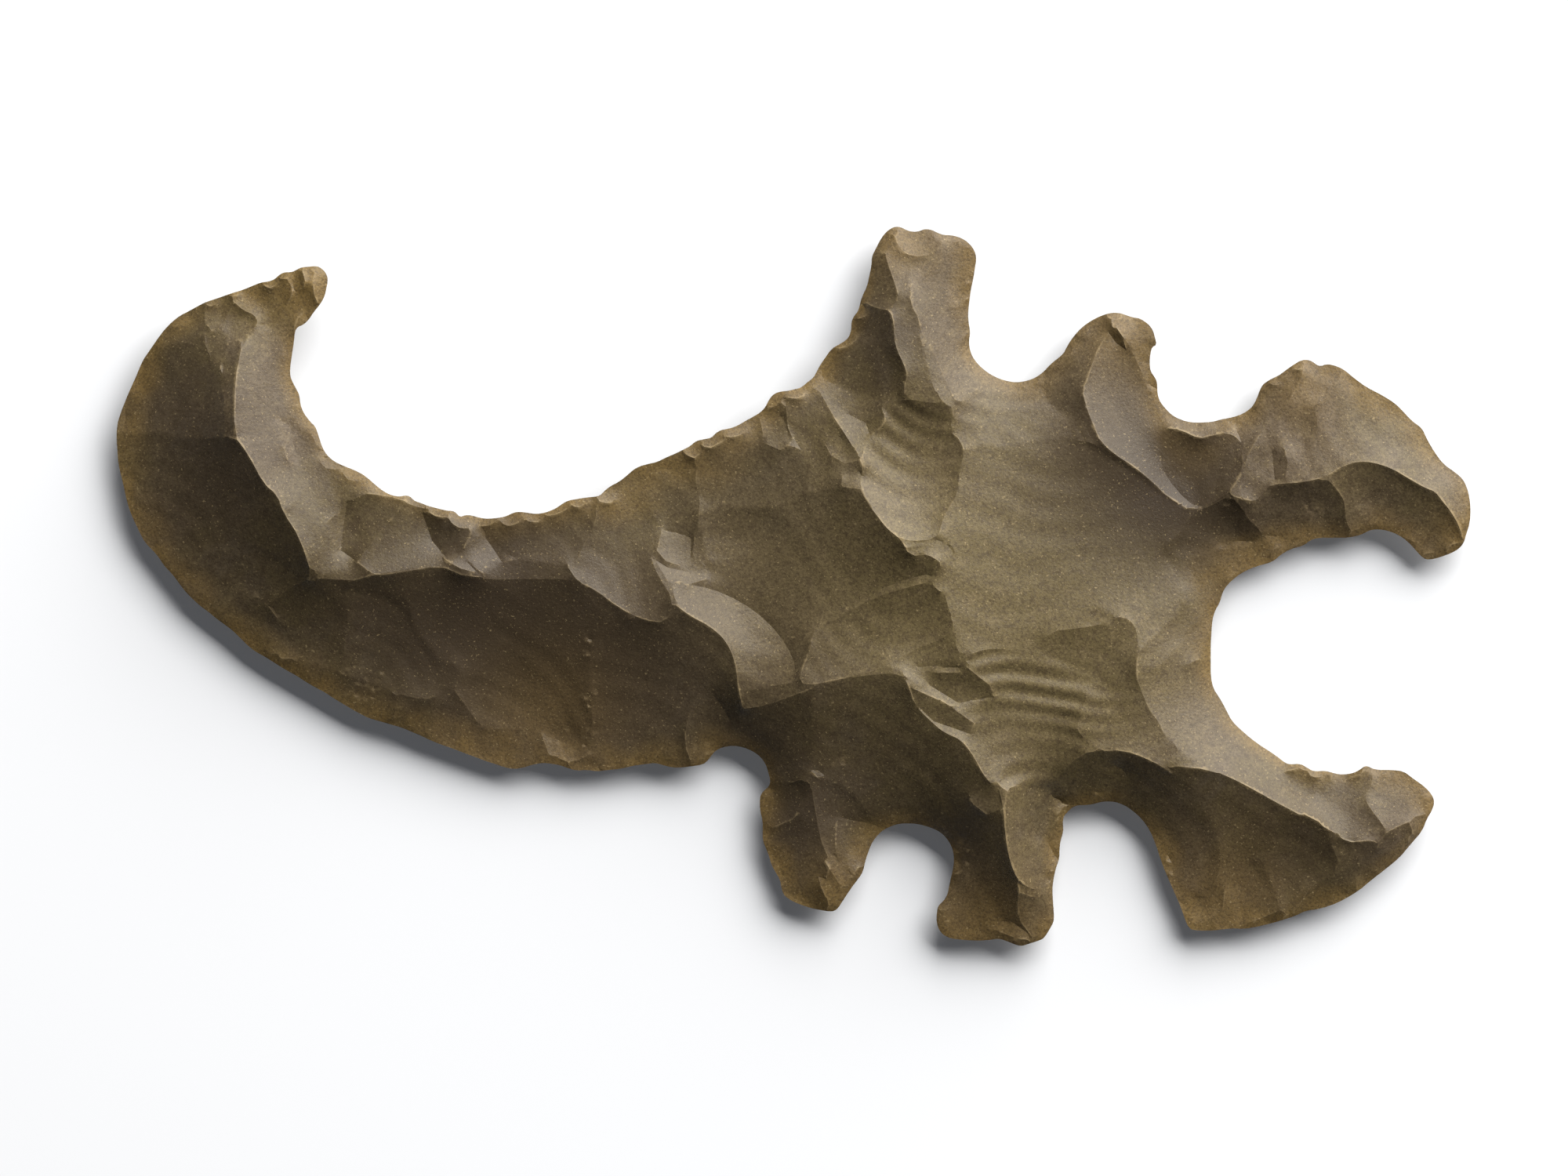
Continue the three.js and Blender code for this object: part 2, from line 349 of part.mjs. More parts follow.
    [.780, .283], [.799, .255], [.817, .238], [.834, .222], [.851, .206], [.834, .193], [.808, .187],
    [.799, .214], [.782, .238], [.762, .260], [.743, .273], [.724, .272], [.711, .293], [.708, .307],
    [.714, .339], [.717, .356]] },
  { name: "arcs", facing: 240, steepness: 0.03, hollow: 0.12, at: [
    [.625, .399], [.634, .410], [.649, .415], [.666, .409], [.689, .400], [.700, .395], [.710, .382],
    [.721, .369], [.716, .350], [.712, .329], [.708, .304], [.724, .272], [.730, .252], [.721, .225],
    [.704, .198], [.678, .203], [.660, .212], [.650, .225], [.644, .249], [.637, .285], [.632, .307],
    [.623, .322], [.615, .334], [.644, .343], [.644, .369], [.636, .378], [.629, .391]] },
  { name: "ripple bands", facing: 60, steepness: 0.08, hollow: 0.16, at: [
    [.578, .380], [.603, .391], [.619, .388], [.629, .391], [.636, .376], [.647, .356], [.634, .342],
    [.621, .336], [.607, .343], [.597, .356], [.587, .369]] },
  { name: "fibres", facing: 45, steepness: 0.16, hollow: 0.06, at: [
    [.581, .378], [.591, .367], [.603, .350], [.615, .332], [.626, .318], [.636, .306], [.639, .291],
    [.645, .271], [.654, .252], [.652, .234], [.639, .242], [.633, .263], [.623, .288], [.611, .296],
    [.603, .310], [.593, .326], [.587, .342]] },
  { name: "mid low", facing: 240, steepness: 0.26, hollow: 0.06, at: [
    [.461, .329], [.478, .334], [.513, .358], [.527, .369], [.551, .376], [.580, .381], [.585, .356],
    [.588, .339], [.595, .323], [.603, .309], [.611, .297], [.622, .288], [.632, .263], [.639, .239],
    [.645, .223], [.652, .182], [.617, .127], [.597, .160], [.577, .176], [.556, .158], [.530, .182],
    [.516, .187], [.512, .236], [.493, .225], [.478, .252], [.464, .280], [.452, .285]] },
  { name: "mid low left", facing: 230, steepness: 0.27, hollow: 0.06, at: [
    [.457, .329], [.478, .334], [.513, .356], [.515, .301], [.513, .236], [.493, .220], [.475, .209],
    [.478, .258], [.464, .285], [.452, .296]] },
  { name: "D notch 4", facing: 225, steepness: 0.44, hollow: 0.1, at: [
    [.713, .269], [.724, .272], [.743, .273], [.762, .259], [.782, .237], [.794, .222], [.802, .196],
    [.811, .165], [.815, .133], [.815, .106], [.808, .078], [.799, .073], [.794, .051], [.776, .073],
    [.765, .138], [.747, .203], [.721, .209], [.702, .193], [.689, .203], [.692, .236]] },
  { name: "jaw underside", facing: 236, steepness: 0.42, hollow: 0.06, at: [
    [.773, .252], [.808, .246], [.834, .223], [.863, .193], [.898, .160], [.905, .149], [.921, .106],
    [.909, .062], [.840, .008], [.788, .008], [.785, .046], [.799, .073], [.808, .079], [.815, .106],
    [.814, .138], [.810, .165], [.802, .196], [.794, .222], [.782, .237]] },
  { name: "jaw under p", facing: 236, steepness: 0.46, hollow: 0.12, at: [
    [.848, .153], [.863, .164], [.892, .147], [.901, .108], [.892, .095], [.881, .084], [.877, .067],
    [.869, .046], [.858, .053], [.852, .084], [.848, .111], [.844, .129]] },
  { name: "jaw under q", facing: 238, steepness: 0.48, hollow: 0.1, at: [
    [.839, .116], [.848, .108], [.852, .084], [.858, .054], [.866, .040], [.851, .018], [.834, .016],
    [.828, .051], [.831, .076], [.837, .095]] },
  { name: "jaw under r", facing: 236, steepness: 0.47, hollow: 0.14, at: [
    [.896, .153], [.905, .149], [.913, .145], [.924, .148], [.934, .121], [.932, .089], [.918, .067],
    [.903, .078], [.899, .098], [.898, .125]] },
  { name: "jaw rim", facing: 270, steepness: 0.36, hollow: 0.05, at: [
    [.869, .046], [.877, .070], [.881, .084], [.901, .100], [.918, .086], [.931, .103], [.950, .129],
    [.955, .116], [.921, .062], [.903, .046], [.880, .035]] },
  { name: "leg2 dark", facing: 228, steepness: 0.4, hollow: 0.1, at: [
    [.617, .149], [.621, .182], [.637, .225], [.650, .225], [.654, .193], [.655, .158], [.658, .125],
    [.662, .103], [.666, .046], [.652, .024], [.632, .002], [.608, .008], [.600, .040], [.611, .073],
    [.615, .106]] },
  { name: "leg2 lit", facing: 22, steepness: 0.33, hollow: 0.16, at: [
    [.656, .220], [.666, .225], [.681, .217], [.702, .198], [.704, .160], [.698, .106], [.693, .086],
    [.684, .079], [.675, .081], [.667, .090], [.662, .106], [.659, .125], [.655, .158], [.654, .193]] },
  { name: "leg2 low", facing: 345, steepness: 0.16, hollow: 0.1, at: [
    [.666, .090], [.675, .081], [.684, .079], [.695, .088], [.698, .029], [.687, .002], [.677, .010],
    [.668, .032], [.665, .051]] },
  { name: "leg2 foot", facing: 255, steepness: 0.06, hollow: 0.16, at: [
    [.644, .026], [.662, .038], [.674, .018], [.678, .002], [.666, -.009], [.652, .002], [.632, -.001],
    [.617, .002], [.626, .018]] },
  { name: "leg1 dark", facing: 228, steepness: 0.52, hollow: 0.1, at: [
    [.484, .230], [.493, .225], [.510, .234], [.515, .203], [.518, .171], [.521, .144], [.527, .116],
    [.542, .103], [.539, .062], [.529, .035], [.493, .057], [.473, .138], [.470, .203]] },
  { name: "leg1 shoulder", facing: 236, steepness: 0.3, hollow: 0.08, at: [
    [.512, .236], [.539, .225], [.559, .176], [.551, .160], [.532, .182], [.531, .144], [.532, .125],
    [.521, .144], [.518, .171], [.515, .203]] },
  { name: "leg1 lit", facing: 28, steepness: 0.16, hollow: 0.12, at: [
    [.532, .182], [.542, .175], [.556, .171], [.568, .162], [.559, .133], [.555, .111], [.551, .097],
    [.542, .103], [.532, .126], [.530, .149]] },
  { name: "leg1 tip", facing: 290, steepness: 0.16, hollow: 0.1, at: [
    [.527, .116], [.536, .113], [.549, .098], [.545, .078], [.536, .057], [.529, .040], [.525, .064],
    [.523, .092]] },
];

// A point on the blade's plane, from shares of its length and width
function place([alongShare, acrossShare]) {
  return new THREE.Vector2((alongShare - 0.5) * LENGTH, (acrossShare - 0.5) * WIDTH);
}

// The outline, with straight nicks between chipped points and smooth curves in the notches
function outlineShape() {
  const shape = new THREE.Shape();
  const [first, ...rest] = OUTLINE_SHARES;
  const start = place(first.at[0]);
  shape.moveTo(start.x, start.y);
  for (const stretch of [{ ...first, at: first.at.slice(1) }, ...rest]) {
    const points = stretch.at.map(place);
    if (stretch.round) {
      shape.splineThru(points);
    } else {
      points.forEach((point) => shape.lineTo(point.x, point.y));
    }
  }
  shape.closePath();
  return shape;
}

// A closed three.js geometry as a solid that can be cut
function solidOf(wasm, geometry) {
  const bare = geometry.clone();
  bare.deleteAttribute("normal");
  bare.deleteAttribute("uv");
  const merged = mergeVertices(bare);
  const vertProperties = Float32Array.from(merged.attributes.position.array);
  const triVerts = Uint32Array.from(merged.index.array);
  return new wasm.Manifold(new wasm.Mesh({ numProp: 3, vertProperties, triVerts }));
}

// The flat blank, sawn through to the outline and thicker than the stone
function blankGeometry(shape) {
  const settings = { depth: THICKNESS + OVERRUN + OVERRUN, bevelEnabled: false, curveSegments: CURVE_STEPS };
  return new THREE.ExtrudeGeometry(shape, settings).translate(0, 0, -OVERRUN);
}

// The front's scars in their places
function frontScars() {
  return SCAR_SHARES.map(({ facing, steepness, hollow, at }) => {
    const outline = at.map(place);
    const total = outline.reduce((sum, point) => sum.add(point), new THREE.Vector2());
    const centre = total.divideScalar(outline.length);
    const radius = outline.reduce((sum, point) => sum + point.distanceTo(centre), 0) / outline.length;
    const turn = THREE.MathUtils.degToRad(facing);
    const fall = new THREE.Vector2(Math.cos(turn), Math.sin(turn)).multiplyScalar(-steepness);
    return { outline, centre, radius, fall, hollow, box: new THREE.Box2().setFromPoints(outline) };
  });
}

// Whether a point lies inside a closed outline
function within(outline, point) {
  let inside = false;
  outline.forEach((corner, index) => {
    const next = outline[(index + 1) % outline.length];
    const level = (next.x - corner.x) * (point.y - corner.y) / (next.y - corner.y) + corner.x;
    if ((next.y > point.y) !== (corner.y > point.y) && point.x < level) inside = !inside;
  });
  return inside;
}

// The place on a closed outline that is nearest to a point
function nearestOn(outline, point) {
  const places = outline.map((corner, index) => {
    const side = outline[(index + 1) % outline.length].clone().sub(corner);
    const share = point.clone().sub(corner).dot(side) / Math.max(side.lengthSq(), Number.EPSILON);
    return corner.clone().addScaledVector(side, THREE.MathUtils.clamp(share, 0, 1));
  });
  return places.reduce((best, spot) => (spot.distanceTo(point) < best.distanceTo(point) ? spot : best));
}

// A point of the net, drawn onto a ridge close beside it: a scar's edge that no younger scar covers
function drawnToRidge(scars, point) {
  let nearest = point;
  let reach = RIDGE_PULL_SHARE * FACET;
  scars.forEach(({ outline, box }, age) => {
    if (box.distanceToPoint(point) > reach) return;
    const spot = nearestOn(outline, point);
    const younger = scars.slice(age + 1).filter((later) => later.box.containsPoint(spot));
    if (spot.distanceTo(point) > reach || younger.some((later) => within(later.outline, spot))) return;
    nearest = spot;
    reach = spot.distanceTo(point);
  });
  return nearest;
}

// The swell under the raised inner edge at a point: its height and its slope
function raisedAt(point) {
  const swell = { height: 0, slope: new THREE.Vector2() };
  RAISED_SHARES.forEach(([x, y, spreadShare, riseShare]) => {
    const spread = spreadShare * WIDTH;
    const gap = point.clone().sub(place([x, y]));
    const height = riseShare * THICKNESS * Math.exp(-gap.lengthSq() / spread / spread / 2);
    swell.height += height;
    swell.slope.addScaledVector(gap, -height / spread / spread);
  });
  return swell;
}

// The slope of the front at a point, from the raised edge up: that of the youngest scar there, on the body's
// swell
function slopeAt(scars, point) {
  const scar = scars.findLast(({ box, outline }) => box.containsPoint(point) && within(outline, point));
  const slope = new THREE.Vector2();
  if (scar) slope.copy(point).sub(scar.centre).multiplyScalar(scar.hollow / scar.radius).add(scar.fall);
  const away = point.clone().sub(place(DOME_SHARES)).divide(new THREE.Vector2(DOME_LONG, DOME_WIDE));
  const steep = -4 * DOME_RISE * Math.max(1 - away.lengthSq(), 0);
  slope.add(away.divide(new THREE.Vector2(DOME_LONG, DOME_WIDE)).multiplyScalar(steep));
  return slope.sub(raisedAt(point).slope);
}

// A net of points over the whole blade and a little beyond it, row after row from the tail to the jaws
function netPoints(rows, columns, step) {
  const shift = NET_SHIFT_SHARE * FACET;
  return Array.from({ length: rows * columns }, (_, index) => {
    const along = Math.floor(index / columns) - (rows - 1) / 2;
    const across = index % columns - (columns - 1) / 2;
    return new THREE.Vector2(along * step + shift, across * step + shift);
  });
}

// Heights of a net's points whose steps fit the slopes, nought off the stone, by repeated relaxation
function summedHeights(slopes, onStone, rows, columns, step) {
  const heights = new Float64Array(slopes.length);
  const bends = slopes.map((_, index) => {
    if (!onStone[index]) return 0;
    const alongBend = slopes[index + columns].x - slopes[index - columns].x;
    const acrossBend = slopes[index + 1].y - slopes[index - 1].y;
    return (alongBend + acrossBend) * step / 2;
  });
  const pull = 2 / (1 + Math.sin(Math.PI / columns));
  for (let round = 0; round < rows + columns; round += 1) {
    onStone.forEach((stone, index) => {
      if (!stone) return;
      const across = heights[index - 1] + heights[index + 1];
      const along = heights[index - columns] + heights[index + columns];
      heights[index] += pull * ((across + along - bends[index]) / 4 - heights[index]);
    });
  }
  return heights;
}

// The height at any point, between the four points of the net round it
function heightAt(heights, rows, columns, step, point) {
  const shift = NET_SHIFT_SHARE * FACET;
  const along = THREE.MathUtils.clamp((point.x - shift) / step + (rows - 1) / 2, 0, rows - 1);
  const across = THREE.MathUtils.clamp((point.y - shift) / step + (columns - 1) / 2, 0, columns - 1);
  const row = Math.min(Math.floor(along), rows - 2);
  const column = Math.min(Math.floor(across), columns - 2);
  const corner = row * columns + column;
  const near = THREE.MathUtils.lerp(heights[corner], heights[corner + 1], across - column);
  const far = THREE.MathUtils.lerp(heights[corner + columns], heights[corner + columns + 1], across - column);
  return THREE.MathUtils.lerp(near, far, along - row);
}

// How far the stone goes on from a point of the edge in a direction, to the next edge
function stoneAcross(from, direction, corners) {
  let nearest = LENGTH;
  corners.forEach((corner, index) => {
    const next = corners[(index + 1) % corners.length];
    const side = next.clone().sub(corner);
    const turn = direction.cross(side);
    const gap = corner.clone().sub(from);
    const distance = gap.cross(side) / turn;
    const share = gap.cross(direction) / turn;
    if (turn !== 0 && distance > EDGE_BAND && share >= 0 && share <= 1) nearest = Math.min(nearest, distance);
  });
  return nearest;
}

// Evenly spaced places on the edge, each with the direction that points into the stone
function edgeStations(shape, pitch) {
  const count = Math.round(shape.getLength() / pitch);
  const points = shape.getSpacedPoints(count).slice(0, count);
  return points.map((point, index) => {
    const before = points[(index + count - 1) % count];
    const after = points[(index + 1) % count];
    const tangent = after.clone().sub(before).normalize();
    return { point, inward: new THREE.Vector2(tangent.y, -tangent.x) };
  });
}

// The back's scars: one at each station, running in until it meets the scars from the other side, or until
// it leaves the blank's own face, which stays flat in the broad parts
function backScars(shape, corners) {
  const thinning = BACK_THINNING_SHARES.map(([x, y, toX, toY, width]) => (
    { start: place([x, y]), end: place([toX, toY]), half: width * WIDTH / 2 }));
  const ring = edgeStations(shape, BACK_PITCH).map(({ point, inward }, index) => {
    const turn = BACK_TURN_SHARES[index % BACK_TURN_SHARES.length];
    const heading = inward.clone().rotateAround(new THREE.Vector2(), turn);
    const limit = BACK_REACH * BACK_REACH_SHARES[index % BACK_REACH_SHARES.length];
    const reach = Math.min(limit, stoneAcross(point, heading, corners));
    return { start: point, end: point.clone().addScaledVector(heading, reach), half: BACK_WIDTH / 2 };
  });
  return [...ring, ...thinning];
}

// Height of the back's surface at a point: the deepest of its scars, the slope down from the edge's level,
// or the flat
function backHeight(scars, point, away, level) {
  const floors = scars.map(({ start, end, half }) => {
    const ahead = end.clone().sub(start);
    const reach = ahead.length();
    const gap = point.clone().sub(start);
    const along = gap.dot(ahead) / reach;
    const across = gap.cross(ahead) / reach / half;
    if (along < -BACK_LEAD || along > reach) return 0;
    const climb = level * (1 - Math.max(along / reach, 0)) ** BACK_POWER_SHARE;
    return climb - BACK_HOLLOW_SHARE * half * across * across;
  });
  return Math.max(0, level - RIM_SLOPE_SHARE * away, ...floors);
}

// Both faces of the stone as one closed slab that goes on a little past the outline
function facesGeometry(shape, corners) {
  const rows = Math.ceil((LENGTH + NET_MARGIN + NET_MARGIN) / FACET);
  const columns = Math.ceil((WIDTH + NET_MARGIN + NET_MARGIN) / FACET);
  const scars = frontScars();
  const points = netPoints(rows, columns, FACET).map((point) => drawnToRidge(scars, point));
  const fine = FACET / 2;
  const [fineRows, fineColumns] = [rows * 2 - 1, columns * 2 - 1];
  const finePoints = netPoints(fineRows, fineColumns, fine);
  const slopes = finePoints.map((point) => slopeAt(scars, point));
  const edgeGap = (point) => (within(corners, point) ? nearestOn(corners, point).distanceTo(point) : 0);
  const onStone = finePoints.map((point) => edgeGap(point) > EDGE_BAND);
  const heights = summedHeights(slopes, onStone, fineRows, fineColumns, fine);
  const swells = points.map((point) => raisedAt(point).height);
  const fronts = points.map((point, index) => (
    Math.max(heightAt(heights, fineRows, fineColumns, fine, point), 0) + swells[index]));
  const rise = (THICKNESS - EDGE_LEVEL - EDGE_BAND / 2) / Math.max(...fronts);
  const struck = backScars(shape, corners);
  const levels = swells.map((swell) => EDGE_LEVEL + rise * swell);
  const backs = points.map((point, index) => Math.min(
    backHeight(struck, point, edgeGap(point), levels[index]), levels[index] - EDGE_BAND / 2));
  const lower = points.flatMap((point, index) => [point.x, point.y, backs[index]]);
  const upper = points.flatMap((point, index) => (
    [point.x, point.y, EDGE_LEVEL + EDGE_BAND / 2 + rise * fronts[index]]));
  const geometry = new THREE.BufferGeometry();
  geometry.setAttribute("position", new THREE.Float32BufferAttribute([...lower, ...upper], 3));
  geometry.setIndex(gridFaces(rows, columns));
  return geometry;
}

// Triangles of a closed slab made of two like grids, the lower one first, joined round the rim
function gridFaces(rows, columns) {
  const faces = [];
  const above = rows * columns;
  const quad = (a, b, c, d) => faces.push(a, b, c, a, c, d);
  for (let row = 0; row < rows - 1; row += 1) {
    for (let column = 0; column < columns - 1; column += 1) {
      const corner = row * columns + column;
      quad(corner, corner + 1, corner + columns + 1, corner + columns);
      quad(above + corner, above + corner + columns, above + corner + columns + 1, above + corner + 1);
    }
  }
  const rim = [];
  for (let column = 0; column < columns - 1; column += 1) rim.push(column);
  for (let row = 0; row < rows - 1; row += 1) rim.push(row * columns + columns - 1);
  for (let column = columns - 1; column > 0; column -= 1) rim.push((rows - 1) * columns + column);
  for (let row = rows - 1; row > 0; row -= 1) rim.push(row * columns);
  rim.forEach((here, index) => {
    const next = rim[(index + 1) % rim.length];
    quad(here, above + here, above + next, next);
  });
  return faces;
}

// The cut solid back as a three.js geometry
function geometryOf(solid) {
  const mesh = solid.getMesh();
  const geometry = new THREE.BufferGeometry();
  geometry.setAttribute("position", new THREE.Float32BufferAttribute(mesh.vertProperties, 3));
  geometry.setIndex(Array.from(mesh.triVerts));
  return geometry;
}

// The stone: the blank, with both faces knapped
function knappedFlint(wasm) {
  const shape = outlineShape();
  const corners = shape.getPoints(CURVE_STEPS);
  const blank = solidOf(wasm, blankGeometry(shape));
  const faces = solidOf(wasm, facesGeometry(shape, corners));
  return geometryOf(blank.intersect(faces));
}

// Grey-brown chert with a dull, waxy surface
function chert() {
  return new THREE.MeshStandardMaterial({ name: "chert", color: 0x6f6250, roughness: 0.55, metalness: 0 });
}

const wasm = await Module();
wasm.setup();

const flint = new THREE.Mesh(knappedFlint(wasm), chert());
flint.name = "knapped_flint";

const group = new THREE.Group();
group.add(flint);

export default group;
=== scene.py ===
import math

import bpy
import numpy as np
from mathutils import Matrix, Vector, kdtree, noise
from mathutils.geometry import delaunay_2d_cdt


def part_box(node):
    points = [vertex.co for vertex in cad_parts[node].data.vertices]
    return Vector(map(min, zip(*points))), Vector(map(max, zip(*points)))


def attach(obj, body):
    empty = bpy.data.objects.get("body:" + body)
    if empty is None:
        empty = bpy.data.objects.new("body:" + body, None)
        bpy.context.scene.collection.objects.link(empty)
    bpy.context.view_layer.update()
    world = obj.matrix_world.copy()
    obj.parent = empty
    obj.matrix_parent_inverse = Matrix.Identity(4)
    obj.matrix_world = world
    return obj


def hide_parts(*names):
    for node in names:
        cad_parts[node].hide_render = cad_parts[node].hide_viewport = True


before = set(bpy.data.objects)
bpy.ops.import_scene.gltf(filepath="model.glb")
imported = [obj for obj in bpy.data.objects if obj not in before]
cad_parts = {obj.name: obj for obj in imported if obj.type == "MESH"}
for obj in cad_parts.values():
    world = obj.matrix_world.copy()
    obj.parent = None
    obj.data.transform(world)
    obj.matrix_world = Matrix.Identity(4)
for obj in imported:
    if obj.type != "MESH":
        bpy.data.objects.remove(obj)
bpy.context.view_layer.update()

# The stone: a single flat blade of grey-brown chert, knapped by hand. Every hollow on it is the scar of one
# flake that was struck or pressed off, and later scars cut into earlier ones. Its faces are worked out point
# by point, because no modelling operator gives hollows that meet in sharp ridges.
EDGE_LEVEL_MM, EDGE_BAND_MM, TOP_ROOM_MM = 3.8, 0.3, 0.02
DOME_X, DOME_Y, DOME_LONG_MM, DOME_WIDE_MM, DOME_MM = 1240, 760, 64, 50, 2.4
SHARP_ANGLE = 14

# Steps between the points of the edge, the ridges, the crumbs, the front, the back and the first plain grid.
EDGE_STEP_MM, RIDGE_MM, CRUMB_MM, NET_MM, BACK_MM, GRID_MM = 0.45, 0.42, 0.25, 0.5, 0.85, 0.5
GRID_MARGIN_MM, GRID_BLOCK, FITTING_ROUNDS = 4, 16, 120

# Places are in points, x to the right and y down, read along the stone's edge and its ridges. An outline is a
# row of x,y pairs. This is the edge, stretch by stretch.
OUTLINE = {
    "tail inner":
     "405,340 412,344 417,350 419,358 417,368 415,378 410,388 400,400 395,408 388,415 380,418 377,424 "
     "376,435 373,455 371,470 371,480 374,488 379,497 383,505 384,516 388,527 397,539 403,544 407,555 "
     "412,571 418,581 427,589 440,595 453,600 463,605 471,611 480,619 490,627 500,632 510,634 519,632 "
     "525,634 529,639 538,642 548,646 560,649 572,652 580,652 584,656 588,660 595,657 604,658 613,661 "
     "624,662 636,661 646,659 654,655 661,653 672,654 683,656 693,655 703,652 711,648 718,643 725,639 "
     "736,637 748,635 760,634 767,632 772,626 780,620 790,615 799,608 809,599 817,595 828,592 838,590 "
     "850,584 862,579 872,574 880,570 888,563 897,561 908,559 913,553 920,549 931,547 940,544 950,538 "
     "961,532 971,526 977,519 981,510 987,503 995,500 1006,499 1014,497 1022,495 1030,488 1038,482 "
     "1042,474 1048,463 1054,455 1060,446 1070,440 1080,434",
    "first prong":
     "1084,428 1086,420 1086,411 1089,404 1095,397 1097,388 1100,378 1106,366 1109,352 1112,338 1112,328 "
     "1117,318 1122,308 1127,300 1134,293 1142,289 1150,290 1157,294 1165,296 1173,295 1180,292 1188,293 "
     "1196,297 1204,300 1213,300 1222,302 1231,306 1239,313 1244,321 1246,330 1244,342 1242,355 1239,368 "
     "1237,382 1235,400 1236,413 1238,424 1236,437",
    "notch between prongs":
     "1238,449 1243,459 1251,468 1261,476 1272,482 1284,486 1297,488 1310,486 1321,482 1331,475 1340,465",
    "second prong":
     "1350,457 1357,451 1361,443 1367,433 1376,422 1385,414 1396,407 1407,402 1418,399 1428,399 1437,402 "
     "1446,405 1454,406 1461,410 1468,416 1472,423 1474,431 1476,440 1470,443 1468,451 1467,463 1468,473 "
     "1472,479 1476,485 1477,493 1477,502",
    "notch before jaw":
     "1480,512 1487,521 1496,530 1508,536 1521,539 1535,539 1548,538 1558,535 1570,533 1581,530 1591,525 "
     "1599,518",
    "upper jaw":
     "1604,508 1608,497 1612,490 1621,484 1632,479 1640,473 1648,467 1661,459 1672,459 1684,468 1693,464 "
     "1706,467 1716,472 1729,483 1744,494 1762,503 1780,514 1791,525 1802,537 1815,546 1821,560 1831,577 "
     "1842,592 1858,603 1868,612 1874,627 1877,646 1876,667 1871,682 1868,693 1861,701 1849,707 1831,713 "
     "1820,714 1813,709 1802,696 1791,686 1778,679 1762,675 1748,676 1738,682 1722,686 1702,686 1682,686 "
     "1672,689 1664,696 1648,700 1635,707 1624,717 1601,723 1584,731 1570,742",
    "mouth":
     "1561,753 1557,768 1550,780 1547,792 1546,805 1545,822 1545,845 1545,862 1548,878 1557,891 1565,906 "
     "1572,920 1588,935 1604,948 1626,962 1640,973",
    "lower jaw":
     "1646,975 1659,974 1668,979 1676,984 1692,983 1705,987 1715,988 1728,986 1738,980 1743,976 1755,982 "
     "1777,982 1792,984 1802,992 1818,1003 1828,1014 1831,1024 1827,1035 1821,1044 1815,1060 1800,1077 "
     "1786,1094 1769,1108 1752,1121 1733,1137 1709,1151 1686,1159 1665,1162 1654,1168 1632,1175 1610,1181 "
     "1588,1185 1571,1184 1549,1187 1528,1187 1518,1185 1513,1175 1507,1157 1499,1139 1490,1119 1482,1099 "
     "1476,1080 1468,1060 1456,1043",
    "notch behind jaw":
     "1440,1030 1432,1026 1424,1023 1414,1022 1404,1023 1394,1026 1384,1027 1375,1027 1368,1030 1362,1036",
    "second leg":
     "1357,1041 1356,1050 1357,1060 1354,1070 1352,1080 1352,1095 1348,1105 1345,1117 1343,1130 1343,1142 "
     "1344,1155 1345,1170 1344,1177 1339,1186 1332,1197 1325,1200 1315,1203 1303,1207 1296,1205 1286,1201 "
     "1275,1197 1262,1199 1248,1200 1230,1199 1213,1197 1204,1193 1198,1186 1195,1177 1195,1166 1197,1155 "
     "1204,1149 1209,1141 1211,1130 1214,1117 1217,1103 1217,1090",
    "notch between legs":
     "1214,1079 1207,1068 1198,1060 1186,1055 1172,1051 1157,1050 1145,1051 1134,1055 1125,1060 1118,1067 "
     "1112,1076",
    "first leg":
     "1108,1086 1104,1098 1101,1112 1095,1121 1088,1130 1081,1140 1074,1151 1068,1160 1061,1163 1048,1161 "
     "1033,1158 1019,1153 1008,1148 1000,1142 997,1134 995,1122 989,1112 984,1103 981,1092 977,1082 "
     "973,1072 973,1060 973,1047 970,1036 969,1024 970,1014 974,1009 981,1003 983,996",
    "small notch":
     "980,985 977,975 970,965 960,958 948,953 935,951 922,953 913,957 908,963 903,970 897,975",
    "tail underside":
     "885,977 870,979 857,979 846,976 836,973 820,975 806,977 790,981 776,982 762,984 748,982 735,983 "
     "725,980 714,976 703,974 692,973 680,975 668,979 656,981 644,979 633,975 620,971 607,966 593,961 "
     "578,955 563,950 548,944 538,939 526,934 512,928 498,924 484,920 470,916 458,910 446,903 434,896 "
     "424,890 414,883 402,877 390,870 378,862 365,855 352,847 338,838 325,831 315,823 306,814 296,804 "
     "285,796 274,788 266,781 256,774 246,765 237,756 229,746 222,736 215,728 208,721 202,711 195,703 "
     "186,694 180,685 175,674 169,662 164,649 160,635 157,620 153,604 150,590 149,575 148,562 148,552",
    "tail back":
     "149,540 153,527 158,514 163,502 168,491 173,480 177,470 182,459 189,449 196,439 203,429 210,420 "
     "219,411 229,403 241,397 252,391 262,386 274,382 286,378 298,374 311,370 323,365 333,361 343,360 "
     "351,357 357,351 363,348 373,348 379,345 384,342 394,341",
}

# Where the edge runs higher than elsewhere: x and y in points, the rise's width and height in millimetres.
RAISED = [
    (400, 350, 14, 1.4), (384, 470, 16, 1.05), (410, 575, 16, 1.1), (500, 640, 17, 1.3),
    (620, 665, 18, 1.4), (740, 645, 19, 1.4), (850, 590, 20, 1.35), (960, 540, 20, 1.2),
    (1060, 440, 14, 0.6)]

